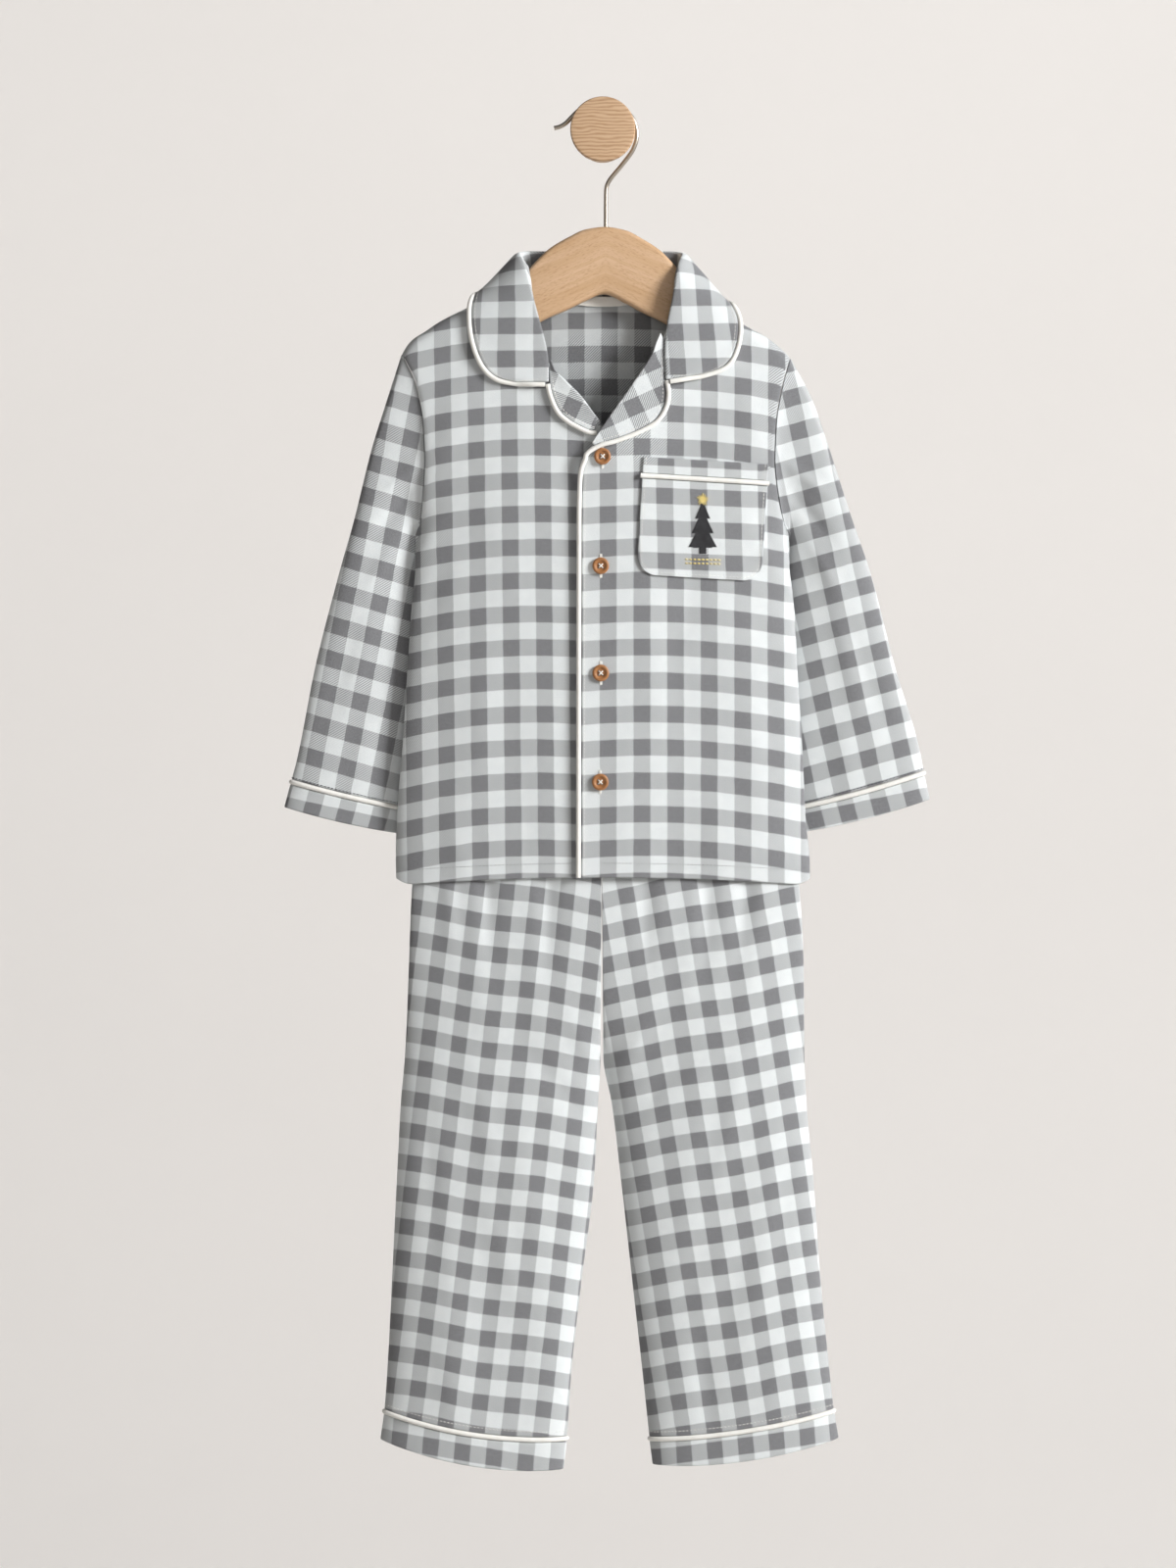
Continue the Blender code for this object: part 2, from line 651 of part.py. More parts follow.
def hem_z(x, outward):
    """Height of the jacket's hem, arched in the middle and rounded up at its corners."""
    arch = HEM_ARCH * (1 - (x / HALF_CHEST) ** 2)
    corner = HEM_CORNER * max((outward - 0.93) / 0.07, 0) ** 2
    return JACKET_HEM_Z + arch + corner


def front_surface(side):
    """Front panel: u runs from the front edge to the armhole and side seam, v from the shoulder to the hem."""

    def place(u, z):
        tip_x = side * SHOULDER_TIP[side]
        edge = body_edge_x(side, z) if z < shoulder_z(tip_x) else tip_x
        return lerp(FRONT_X[side](z), edge, u)

    def surface(u, v):
        top = shoulder_z(side * NECK_HALF_WIDTH)
        for _ in range(12):
            top = shoulder_z(place(u, top))
        bottom = hem_z(place(u, JACKET_HEM_Z), u)
        z = lerp(top, bottom, v)
        x = place(u, z)
        return Vector((x, body_y(FRONT, side, x, z), z))

    return surface


def back_neck_z(x):
    """Neck seam of the back."""
    return NECK_SEAM_BACK_Z + NECK_SEAM_RISE * (abs(x) / NECK_HALF_WIDTH) ** 2.4


def back_surface(u, v):
    """Back panel: u runs from the right armhole to the left one, v from the shoulders and neck to the hem."""
    across = 2 * u - 1
    side = side_of(across)
    tip = SHOULDER_TIP[side]
    top_x = across * tip
    top = back_neck_z(top_x) if abs(top_x) < NECK_HALF_WIDTH else shoulder_z(top_x)
    bottom = hem_z(across * HALF_CHEST, abs(across))
    z = lerp(top, bottom, v)
    edge = BODY_X[side](z) if z < shoulder_z(side * tip) else tip
    x = across * edge
    return Vector((x, body_y(BACK, side, x, z), z))


def on_mid_plane(u, v, point):
    """Rims on the mid plane, at the shoulder and side seams, lie flat on it."""
    return 1.0 if abs(point.y - MID_Y) < SEAM_GAP else 0.0


def make_jacket_body(material):
    for side in (RIGHT, LEFT):
        panel(
            "jacket_front_" + SIDE_NAME[side], front_surface(side), FRONT_COLUMNS, FRONT_ROWS, material,
            flatness=on_mid_plane,
        )
    half = {}
    for side in (RIGHT, LEFT):
        tip = SHOULDER_TIP[side]
        half[side] = [x / tip for x in BACK_NECK_COLUMNS]
        half[side] += [lerp(half[side][-1], 1, t) for t in BACK_SHOULDER_COLUMNS]
    across = [-a for a in reversed(half[RIGHT])] + [0] + half[LEFT]
    columns = [(a + 1) / 2 for a in across]
    panel("jacket_back", back_surface, columns, BACK_ROWS, material, flatness=on_mid_plane)


# ---- Flattened tubes: sleeves, legs and their bands ----


def tube_point(section, across, face, inner_closed=1.0):
    """Point of a flattened tube. across runs from its outer fold, 0, to its inner fold, 1."""
    whole = flat_round(2 * across - 1)
    open_inside = flat_round(1 - across)
    swell = lerp(open_inside, whole, inner_closed)
    depth = section["front"] if face == FRONT else section["back"]
    x = lerp(section["outer_x"], section["inner_x"], across)
    y = lerp(section["outer_y"], section["inner_y"], across) + face * depth * swell
    z = lerp(section["outer_z"], section["inner_z"], across) - section["sag"] * 4 * across * (1 - across)
    return Vector((x, y, z))


def section_at(columns, down):
    return {name: curve(down) for name, curve in columns.items()}


def around(turn):
    """Place round a tube: how far across it and on which face. A turn starts at the outer fold, front first."""
    turn = turn % 1.0
    return (1 - math.cos(turn * 2 * math.pi)) / 2, FRONT if turn < 0.5 else BACK


def armhole_point(side, turn):
    """Armhole seam: from the shoulder tip down the front to the underarm and up the back."""
    across, face = around(turn)
    tip_z = shoulder_z(side * SHOULDER_TIP[side])
    z = lerp(tip_z, UNDERARM_Z, across)
    x = body_edge_x(side, z)
    y = body_y(face, side, x, z)
    outward = Vector((side, 0, 0.35 - across * 0.9)).normalized()
    return Vector((x, y, z)) + outward * lerp(ARMHOLE_GAP, UNDERARM_GAP, ease((across - 0.55) / 0.35))


def sleeve_point(side, turn, down):
    """Sleeve: it starts as the armhole seam and eases into the hanging flattened tube."""
    across, face = around(turn)
    columns = SLEEVE_CURVES[side]
    point = tube_point(section_at(columns, down), across, face)
    if down < ARMHOLE_FADE:
        start = tube_point(section_at(columns, 0), across, face)
        fade = 1 - ease(down / ARMHOLE_FADE)
        point += (armhole_point(side, turn) - start) * fade
    return point


def hip_closing(down):
    """0 where the two legs share one hip tube, 1 from the crotch down."""
    t = (down - HIP_SEAM_FADE_START) / (CROTCH_DOWN - HIP_SEAM_FADE_START)
    t = min(max(t, 0.0), 1.0)
    return 1 - math.sqrt(1 - t * t)


def leg_point(side, across, face, down, gap=SEAM_GAP / 2):
    """Trouser leg and its half of the hips, with the folds of the hanging cloth."""
    point = tube_point(section_at(LEG_CURVES[side], down), across, face, hip_closing(down))
    calm = flat_round(2 * across - 1)
    folds = fold_height(TROUSER_FOLDS, -face * point.x, point.z)
    point.y += face * (gap + folds * calm * FOLD_SHARE[face])
    return point


def make_sleeves(flannel, piping):
    turns = [i / 18 for i in range(18)]
    for side in (RIGHT, LEFT):
        label = SIDE_NAME[side]
        sleeve_end = SLEEVE_PIPING_DOWN - PIPING_RADIUS - PIPING_GAP
        cuff_start = SLEEVE_PIPING_DOWN + PIPING_RADIUS + PIPING_GAP

        def sleeve(turn, v, side=side, end=sleeve_end):
            return sleeve_point(side, turn, v * end)

        def cuff(turn, v, side=side, start=cuff_start):
            return sleeve_point(side, turn, lerp(start, CUFF_HEM_DOWN, v))

        panel("sleeve_" + label, sleeve, turns, steps(13), flannel, closed=True)
        panel("cuff_" + label, cuff, turns, steps(1), flannel, closed=True)
        ring = []
        for turn in turns:
            ring.append(proud(cuff, turn, 0.0, sleeve_point(side, turn, SLEEVE_PIPING_DOWN)))
        cord("cuff_piping_" + label, ring, PIPING_RADIUS, piping, closed=True)


def proud(surface, u, v, point, amount=0.5):
    """A point moved out from a ring's surface, away from the ring's middle."""
    normal = surface_normal(surface, u, v, closed=True)
    middle = (surface(0.0, v) + surface(0.5, v)) / 2
    if normal.dot(point - middle) < 0:
        normal = -normal
    return point + normal * amount


def make_trousers(flannel, piping):
    turns = [i / 20 for i in range(20)]
    for side in (RIGHT, LEFT):
        label = SIDE_NAME[side]
        panel_end = LEG_PIPING_DOWN - PIPING_RADIUS - PIPING_GAP
        for face, face_name in ((FRONT, "front"), (BACK, "back")):

            def leg(u, v, side=side, face=face):
                return leg_point(side, 1 - u, face, v * panel_end)

            def flatness(u, v, point):
                return {0: hip_closing(v * panel_end), 1: 1.0}.get(u, 0.0)

            panel(
                "trouser_" + face_name + "_" + label, leg, steps(9, dense_ends), steps(15), flannel,
                flatness=flatness,
            )

        def band(turn, v, side=side):
            across, face = around(turn)
            start = LEG_PIPING_DOWN + PIPING_RADIUS + PIPING_GAP
            return leg_point(side, across, face, lerp(start, LEG_HEM_DOWN, v), gap=0)

        panel("hem_band_" + label, band, turns, steps(1), flannel, closed=True)
        ring = []
        for turn in turns:
            across, face = around(turn)
            ring.append(proud(band, turn, 0.0, leg_point(side, across, face, LEG_PIPING_DOWN, gap=0)))
        cord("hem_piping_" + label, ring, PIPING_RADIUS, piping, closed=True)


def make_waistband(material):
    """Elastic waistband, gathered all round, hidden inside the jacket."""
    top = {side: section_at(LEG_CURVES[side], 0) for side in (RIGHT, LEFT)}
    half_width = (top[LEFT]["outer_x"] - top[RIGHT]["outer_x"]) / 2
    middle = (top[LEFT]["outer_x"] + top[RIGHT]["outer_x"]) / 2

    def band(turn, v):
        angle = turn * 2 * math.pi
        across = math.cos(angle)
        face = FRONT if math.sin(angle) >= 0 else BACK
        depth = top[LEFT]["front"] if face == FRONT else top[LEFT]["back"]
        swell = flat_round(across)
        wave = GATHER_DEPTH * math.sin(angle * WAIST_GATHERS) * swell
        x = middle + half_width * across
        y = top[LEFT]["outer_y"] + face * (depth * swell + wave)
        return Vector((x, y, WAIST_Z + lerp(WAISTBAND_HEIGHT, 2.5 * SEAM_GAP, v)))

    panel("waistband", band, [i / 72 for i in range(72)], steps(1), material, closed=True)


# ---- Collar, lapels and what lies on the fronts ----


def clear_of_body(point, clearance):
    """A point of an outer layer, moved off the body's cloth where it would touch it."""
    if point.z < shoulder_z(point.x):
        face = FRONT if point.y < MID_Y else BACK
        cloth = body_y(face, side_of(point.x), point.x, point.z)
        if (point.y - cloth) * face < clearance:
            point.y = cloth + face * clearance
    return point


def collar_section(station):
    """Cloth of the collar at one station, from the foot of the stand over the roll to the outer edge."""
    foot = Vector((station.foot_x, station.foot_y, station.foot_z))
    roll = Vector((station.roll_x, station.roll_y, station.roll_z))
    edge = Vector((station.edge_x, station.edge_y, station.edge_z))
    lies_on_front = station.roll_y < FIRST_SIDE_STATION_Y
    if lies_on_front:
        under = Vector((0, 1, 0))
        cloth = body_y(FRONT, side_of(roll.x), roll.x, roll.z)
        roll.y = cloth - (COLLAR_UNDER_CLEARANCE + COLLAR_ROLL_CLEARANCE) / 2
        foot.y = body_y(FRONT, side_of(foot.x), foot.x, foot.z) - COLLAR_UNDER_CLEARANCE
    else:
        under = (Vector((0, NECK_CENTRE_Y, 0)) - Vector((roll.x, roll.y, 0))).normalized()
    down = (edge - roll).normalized()
    turn_in = roll + (down + under) * station.radius
    turn_out = roll + (down - under) * station.radius
    points = [foot, (foot + turn_in) / 2, turn_in, roll]
    if lies_on_front:
        for point in points[:3]:
            point.y = body_y(FRONT, side_of(point.x), point.x, point.z) - COLLAR_UNDER_CLEARANCE
    for i in range(FALL_COLUMNS + 1):
        t = i / FALL_COLUMNS
        place = turn_out.lerp(edge, t) - under * (FALL_BULGE * math.sin(math.pi * t))
        near, far = COLLAR_SETTLE
        settle = ease(((place - roll).length - near) / (far - near))
        points.append(clear_of_body(place, lerp(COLLAR_ROLL_CLEARANCE, COLLAR_EDGE_CLEARANCE, settle)))
    return points


def collar_stations():
    """Every station of the collar from the right front corner round the back of the neck to the left one."""
    return COLLAR[RIGHT] + [COLLAR_BACK] + list(reversed(COLLAR[LEFT]))


def make_collar(flannel, piping):
    sections = [collar_section(station) for station in collar_stations()]
    wall("collar", sections, grid_normals(sections), CLOTH, flannel)
    normals = grid_normals(sections)
    first_fall = len(sections[0]) - FALL_COLUMNS - 1
    rim, rim_normals = [], []
    for rows, columns in (
        ([0], range(first_fall, len(sections[0]) - 1)),
        (range(len(sections)), [-1]),
        ([-1], reversed(range(first_fall, len(sections[0]) - 1))),
    ):
        for row in rows:
            for column in columns:
                rim.append(sections[row][column])
                rim_normals.append(normals[row][column])
    rim[0] = rim[0].lerp(rim[1], NOTCH_SHARE)
    rim[-1] = rim[-1].lerp(rim[-2], NOTCH_SHARE)
    path = beside(rim, rim_normals, PIPING_RADIUS + PIPING_GAP)
    cord("collar_piping", path, PIPING_RADIUS, piping)


def lapel_grid(side):
    """Lapel facing turned out on its front: a row of points a station, from the fold to the outer edge."""
    rows = []
    last = len(LAPEL[side]) - 1
    for number, station in enumerate(LAPEL[side]):
        row = []
        for i in range(4):
            t = i / 3
            x = lerp(station.fold_x, station.edge_x, t)
            z = lerp(station.fold_z, station.edge_z, t)
            lift = CLOTH + LAYER_GAP + LAPEL_FOLD_LIFT * (1 - t) ** 2 * (1 - (number / last) ** 3)
            row.append(Vector((x, body_y(FRONT, side, x, z) - lift, z)))
        rows.append(row)
    return rows


def piping_y(side, x, z, beyond=0.0):
    """y of a piping that lies on a front, or beyond its edge, beside the cloth's thickness."""
    reach = PIPING_RADIUS + PIPING_GAP
    off = CLOTH / 2 + math.sqrt(max(reach ** 2 - beyond ** 2, 0))
    return body_y(FRONT, side, x, z) - max(off, EDGE_PIPING_PROUD)


def make_lapels(flannel, piping):
    off = PIPING_RADIUS + PIPING_GAP
    first_piped = {RIGHT: 2, LEFT: 3}
    for side in (RIGHT, LEFT):
        rows = lapel_grid(side)
        wall("lapel_" + SIDE_NAME[side], rows, grid_normals(rows), CLOTH, flannel)
        normals = grid_normals(rows)
        path = beside([row[-1] for row in rows], [row[-1] for row in normals], off)[first_piped[side]:]
        for place in path:
            place.y = piping_y(side, place.x, place.z)
        if side == LEFT:
            cord("front_piping", path[:-1] + front_edge_path(off), PIPING_RADIUS, piping)
        else:
            cord("lapel_piping_right", path, PIPING_RADIUS, piping)


def front_edge_path(off):
    """Path beside the left front's edge, from the foot of the lapel to the hem."""
    path = []
    bottom = JACKET_HEM_Z + HEM_ARCH
    for z in FRONT_PIPING_ROWS + [bottom]:
        beyond = off * ease((FRONT_PIPING_ROWS[0] - z) / FRONT_PIPING_SETTLE)
        edge = FRONT_X[LEFT](z)
        path.append(Vector((edge - beyond, piping_y(LEFT, edge, z, beyond), z)))
    return path


def pocket_place(u, v):
    """Jacket x and z of a place in the pocket's frame: u across from its middle, v up from its piping."""
    x = POCKET_CENTRE[0] + u * math.cos(POCKET_TILT) - v * math.sin(POCKET_TILT)
    z = POCKET_CENTRE[1] + u * math.sin(POCKET_TILT) + v * math.cos(POCKET_TILT)
    return x, z


def on_left_front(x, z, off):
    """Place on the left front, moved out of it at right angles."""
    step = 1.0
    here = Vector((x, body_y(FRONT, LEFT, x, z), z))
    across = Vector((step, body_y(FRONT, LEFT, x + step, z) - here.y, 0))
    up = Vector((0, body_y(FRONT, LEFT, x, z + step) - here.y, step))
    return here + across.cross(up).normalized() * off


def make_pocket(flannel, piping):
    half = POCKET_WIDTH / 2
    off = CLOTH + LAYER_GAP
    gap = PIPING_RADIUS + PIPING_GAP

    def bag(u, v):
        down = lerp(gap, POCKET_DEPTH, v)
        into = max(down - (POCKET_DEPTH - POCKET_CORNER), 0)
        narrower = POCKET_CORNER - math.sqrt(max(POCKET_CORNER ** 2 - into ** 2, 0))
        x, z = pocket_place((2 * u - 1) * (half - narrower), -down)
        return on_left_front(x, z, off)

    def band(u, v):
        x, z = pocket_place((2 * u - 1) * half, lerp(POCKET_BAND, gap, v))
        return on_left_front(x, z, off)

    depths = [0, 0.3, 0.55, 0.79, 0.84, 0.90, 0.95, 0.985, 1.0]
    panel("pocket_bag", bag, steps(6), depths, flannel)
    panel("pocket_band", band, steps(6), steps(1), flannel)
    path = []
    for i in range(7):
        x, z = pocket_place(lerp(-1, 1, i / 6) * (half + POCKET_PIPING_OVERHANG), 0)
        path.append(on_left_front(x, z, CLOTH / 2 + PIPING_RADIUS + LAYER_GAP))
    cord("pocket_piping", path, PIPING_RADIUS, piping)


def make_neck_tape(material):
    """Tape along the back neck seam, on the inside."""
    inside = (CLOTH + TAPE_THICKNESS) / 2 + 2 * LAYER_GAP

    def tape(u, v):
        x = lerp(-TAPE_HALF_WIDTH, TAPE_HALF_WIDTH, u)
        z = back_neck_z(x) - lerp(0.5, TAPE_HEIGHT, v)
        return Vector((x, body_y(BACK, side_of(x), x, z) - inside, z))

    panel("neck_tape", tape, steps(10), steps(1), material, thickness=TAPE_THICKNESS)


def spun(name, profile, centre, material, segments):
    """Solid turned about the y axis through its centre from a profile that starts and ends on that axis."""
    solid = bmesh.new()
    corners = [solid.verts.new((point + centre) * MM) for point in profile]
    edges = [solid.edges.new(pair) for pair in zip(corners, corners[1:])]
    bmesh.ops.spin(
        solid, geom=corners + edges, cent=centre * MM, axis=Vector((0, 1, 0)), angle=2 * math.pi,
        steps=segments, use_merge=True,
    )
    bmesh.ops.remove_doubles(solid, verts=solid.verts, dist=WELD * MM)
    bmesh.ops.recalc_face_normals(solid, faces=solid.faces)
    mesh = bpy.data.meshes.new(name)
    solid.to_mesh(mesh)
    solid.free()
    mesh.materials.append(material)
    mesh.shade_smooth()
    mesh.set_sharp_from_angle(angle=SHARP_ANGLE)
    obj = bpy.data.objects.new(name, mesh)
    bpy.context.scene.collection.objects.link(obj)
    return obj


def cutter(name, centre, radius, depth, rotation, segments):
    """Round cutter, left out of the model."""
    solid = bmesh.new()
    bmesh.ops.create_cone(
        solid, cap_ends=True, segments=segments, radius1=radius * MM, radius2=radius * MM, depth=depth * MM,
    )
    mesh = bpy.data.meshes.new(name)
    solid.to_mesh(mesh)
    solid.free()
    obj = bpy.data.objects.new(name, mesh)
    bpy.context.scene.collection.objects.link(obj)
    obj.location = centre * MM
    obj.rotation_euler = rotation
    obj.hide_render = True
    obj.display_type = "WIRE"
    return obj


def cut(obj, tool):
    modifier = obj.modifiers.new(tool.name, "BOOLEAN")
    modifier.operation = "DIFFERENCE"
    modifier.object = tool


def make_buttons(material):
    """Four-hole buttons with a raised rim, a layer gap in front of the left front."""
    for number, spot in enumerate(BUTTONS, start=1):
        surface_y = body_y(FRONT, LEFT, spot.x, spot.z) - CLOTH / 2
        centre = Vector((spot.x, surface_y - LAYER_GAP - 0.2, spot.z))
        profile = [Vector((row.radius, -row.height, 0)) for row in BUTTON_PROFILE]
        button = spun("button_%d" % number, profile, centre, material, 14)
        for sx in (-1, 1):
            for sz in (-1, 1):
                spot_centre = centre + Vector((sx, 0, sz)) * (BUTTON_HOLE_SPACING / 2 * 1.15)
                hole = cutter(
                    "button_%d_hole_%d_%d" % (number, sx, sz), spot_centre, BUTTON_HOLE_RADIUS,
                    3 * BUTTON_THICKNESS, (math.pi / 2, 0, 0), 6,
                )
                cut(button, hole)


# ---- Hanger, hook and peg ----


def hanger_point(out, drop):
    """Place on the hanger: out from its middle, drop from its top, turned by its small tilt."""
    x = HANGER_TOP_X + out * math.cos(HANGER_TILT) - drop * math.sin(HANGER_TILT)
    z = HANGER_TOP_Z - drop * math.cos(HANGER_TILT) - out * math.sin(HANGER_TILT)
    return x, z


def make_hanger(material):
    """Flat board with arched arms, its long edges rounded."""
    mirrored = [row._replace(out=-row.out) for row in HANGER[1:]] + HANGER
    outline = curves(mirrored, "out")
    span = HANGER[-1].out
    stations = [lerp(-span, span, i / HANGER_STATIONS) for i in range(HANGER_STATIONS + 1)]
    half = HANGER_THICKNESS / 2
    round_x = HANGER_ROUNDING
    corner = round_x * (1 - math.sqrt(0.5))
    ring = []
    for face in (-1, 1):
        ends = ((half - round_x, 0), (half - corner, corner), (half, round_x))
        for inset, edge in (ends if face == 1 else reversed(ends)):
            ring.append((face * inset, edge))
    vertices, faces = [], []
    for out in stations:
        for y, edge in ring:
            x, z = hanger_point(out, outline["top"](out) + edge)
            vertices.append((x, MID_Y + y, z))
        for y, edge in reversed(ring):
            x, z = hanger_point(out, outline["bottom"](out) - edge)
            vertices.append((x, MID_Y + y, z))
    count = 2 * len(ring)
    for i in range(len(stations) - 1):
        for j in range(count):
            a, b = i * count + j, i * count + (j + 1) % count
            faces.append((a, b, b + count, a + count))
    faces.append(tuple(range(count)))
    faces.append(tuple(range((len(stations) - 1) * count, len(stations) * count)))
    hanger = object_from("hanger", vertices, faces, material)
    socket_x = HOOK[-1].x
    socket = cutter(
        "hook_socket", Vector((socket_x, MID_Y, HANGER_TOP_Z)), HOOK_RADIUS + HOOK_SOCKET_CLEARANCE,
        2 * HOOK_SOCKET_DEPTH, (0, 0, 0), 10,
    )
    cut(hanger, socket)


def make_hook(material):
    """Wire bent through its stations on one smooth curve."""
    spots = [Vector((row.x, MID_Y, row.z)) for row in HOOK]
    path = []
    for i in range(len(spots) - 1):
        before = spots[max(i - 1, 0)]
        after = spots[min(i + 2, len(spots) - 1)]
        count = 2
        for j in range(count):
            t = j / count
            path.append(catmull_rom(before, spots[i], spots[i + 1], after, t))
    path.append(spots[-1])
    cord("hook", path, HOOK_RADIUS, material, resolution=2)


def catmull_rom(before, start, end, after, t):
    return 0.5 * (
        2 * start
        + (end - before) * t
        + (2 * before - 5 * start + 4 * end - after) * t * t
        + (3 * start - before - 3 * end + after) * t ** 3
    )


def make_peg(material):
    profile = [Vector((0, 0, 0))]
    profile += [Vector((row.radius, -row.out, 0)) for row in PEG]
    profile.append(Vector((0, -PEG_LENGTH, 0)))
    spun("wall_peg", profile, Vector((0, 0, 0)), material, 32)


def make_material(name):
    colour, roughness, metallic = COLOURS[name]
    material = bpy.data.materials.new(name)
    material.use_nodes = True
    material.diffuse_color = colour
    shader = material.node_tree.nodes["Principled BSDF"]
    shader.inputs["Base Color"].default_value = colour
    shader.inputs["Roughness"].default_value = roughness
    shader.inputs["Metallic"].default_value = metallic
    return material


def main():
    for obj in list(bpy.data.objects):
        bpy.data.objects.remove(obj, do_unlink=True)
    materials = {name: make_material(name) for name in COLOURS}
    flannel, piping = materials["flannel"], materials["piping"]
    make_jacket_body(flannel)
    make_sleeves(flannel, piping)
    make_collar(flannel, piping)
    make_lapels(flannel, piping)
    make_pocket(flannel, piping)
    make_neck_tape(materials["tape"])
    make_buttons(materials["button"])
    make_waistband(flannel)
    make_trousers(flannel, piping)
    make_hanger(materials["beech"])
    make_hook(materials["wire"])
    make_peg(materials["pine"])


main()
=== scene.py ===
"""Child's checked flannel pyjama set on a beech hanger and a turned wall peg, laid out as a Blender add-on.

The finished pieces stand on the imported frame: metres, +Z up, the wall at y = 0, and the set faces -Y, so the
wearer's left is at +X. Tables are in millimetres and are scaled by MM when a mesh is made.
"""

import math
from bisect import bisect_right
from collections import namedtuple
from functools import partial

import bmesh
import bpy
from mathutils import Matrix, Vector, noise


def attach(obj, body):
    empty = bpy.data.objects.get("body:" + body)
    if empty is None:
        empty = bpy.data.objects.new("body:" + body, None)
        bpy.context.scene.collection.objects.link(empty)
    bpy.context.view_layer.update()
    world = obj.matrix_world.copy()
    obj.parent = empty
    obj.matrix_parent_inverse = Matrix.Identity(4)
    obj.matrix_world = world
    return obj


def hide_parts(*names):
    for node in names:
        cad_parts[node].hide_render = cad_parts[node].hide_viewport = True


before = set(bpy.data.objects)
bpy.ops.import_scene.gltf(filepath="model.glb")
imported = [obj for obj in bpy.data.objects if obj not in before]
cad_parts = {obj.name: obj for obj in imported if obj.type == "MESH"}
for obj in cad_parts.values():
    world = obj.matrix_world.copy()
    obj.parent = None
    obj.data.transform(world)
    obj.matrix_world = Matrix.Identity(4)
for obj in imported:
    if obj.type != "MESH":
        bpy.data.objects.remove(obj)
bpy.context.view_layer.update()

bl_info = {
    "name": "Pyjama Set",
    "version": (1, 0, 0),
    "blender": (4, 5, 0),
    "location": "3D View > Sidebar > Pyjamas",
    "description": "Dresses the packed pyjama set in checked flannel, piping, wood and wire",
    "category": "Add Mesh",
}

MM = 0.001
RIGHT = -1
LEFT = 1
FRONT = -1
BACK = 1
SIDES = ((RIGHT, "right"), (LEFT, "left"))
FOLD_SHARE = {FRONT: 1.0, BACK: 0.6}
SHARP_ANGLE = math.radians(40)
WELD = 0.01

# Cloth and seams
CLOTH = 1.5
SEAM_GAP = 0.5
LAYER_GAP = 0.5
PIPING_RADIUS = 1.85
PIPING_GAP = 0.3
PIPING_OFF = PIPING_RADIUS + PIPING_GAP / 2
PIPING_PROUD = 0.5

# The plane of the hanger and of the shoulder and side seams
MID_Y = -30.0

# Hanger, hook and peg
HANGER_THICKNESS = 12.0
HANGER_TOP_X = 2.2
HANGER_TOP_Z = -72.8
HANGER_TILT = math.radians(1.2)
HANGER_ROUNDING = 4.0
HOOK_RADIUS = 1.7
PEG_HEAD_RADIUS = 24.8
PEG_STEM_RADIUS = 18.2
PEG_LENGTH = 54.4

# Buttons
BUTTON_RADIUS = 6.5
BUTTON_THICKNESS = 2.6
BUTTON_HOLE_RADIUS = 0.85
BUTTON_HOLE_REACH = 1.495
BUTTON_LIFT = 0.2

# Jacket
JACKET_HEM_Z = -577.0
HEM_ARCH = 6.0
HEM_CORNER = 5.0
HALF_CHEST = 158.0
RIDGE_HALF = 7.6
RIDGE_ROLL = 7.0
SHOULDER_ROLL = 60.0
UNDERARM_Z = -300.0
NECK_HALF_WIDTH = 60.0
NECK_SEAM_BACK_Z = -127.0
NECK_SEAM_RISE = 22.0
LAP_LIFT = 2.4
LAP_WIDTH = 34.0
LAP_FADE = 50.0
LAP_TOP_Z = -150.0
LAP_TOP_FADE = 70.0
V_LIFT = 2.6
V_POINT = (-3.0, -238.0)
V_SPREAD = 28.0

# Breast pocket, in its own tilted frame
POCKET_CENTRE = (77.6, -266.8)
POCKET_TILT = math.radians(-3.3)
POCKET_WIDTH = 95.5
POCKET_DEPTH = 75.5
POCKET_BAND = 14.4
POCKET_CORNER = 15.0
POCKET_PIPING_OVERHANG = 1.2

# Neck tape
TAPE_HALF_WIDTH = 44.0
TAPE_HEIGHT = 6.4
TAPE_OVER_SEAM = 1.6
TAPE_THICKNESS = 1.0

# Trousers
WAIST_Z = -515.0
WAISTBAND_HEIGHT = 25.0
WAIST_GATHERS = 18
GATHER_DEPTH = 1.1
HIP_FADE_START = 85.0
CROTCH_DOWN = 194.0
LEG_PIPING_DOWN = 485.0
LEG_HEM_DOWN = 509.0

# Sleeves
SLEEVE_PIPING_DOWN = 340.0
CUFF_HEM_DOWN = 361.0
ARMHOLE_FADE = 150.0
ARMHOLE_GAP = 0.4
UNDERARM_GAP = 0.5


def table(columns, *rows):
    """Rows of numbers under named columns."""
    row_type = namedtuple("Row", columns)
    return [row_type(*row) for row in rows]


CREASE = "x z lean length width height"
TUBE_SIDE = "down outer_x outer_z inner_x inner_z sag"


# Shoulder line over the hanger, from the neck out and on down the sleeve head
SHOULDER = {
    RIGHT: table(
        "x z",
        (0, -66), (30, -84), (59, -104.8), (80, -119.5), (100, -133.5), (116, -141.5),
        (126, -147), (134, -152.5), (146, -160.5), (153, -170.7), (165, -207), (190, -297),
    ),
    LEFT: table(
        "x z",
        (0, -66), (30, -82), (57.5, -101.5), (80, -121.5), (97, -139), (106.5, -147.5),
        (125, -158), (138.5, -169), (143, -174), (159.5, -205), (190, -295),
    ),
}
SHOULDER_TIP = {RIGHT: 153.0, LEFT: 143.0}

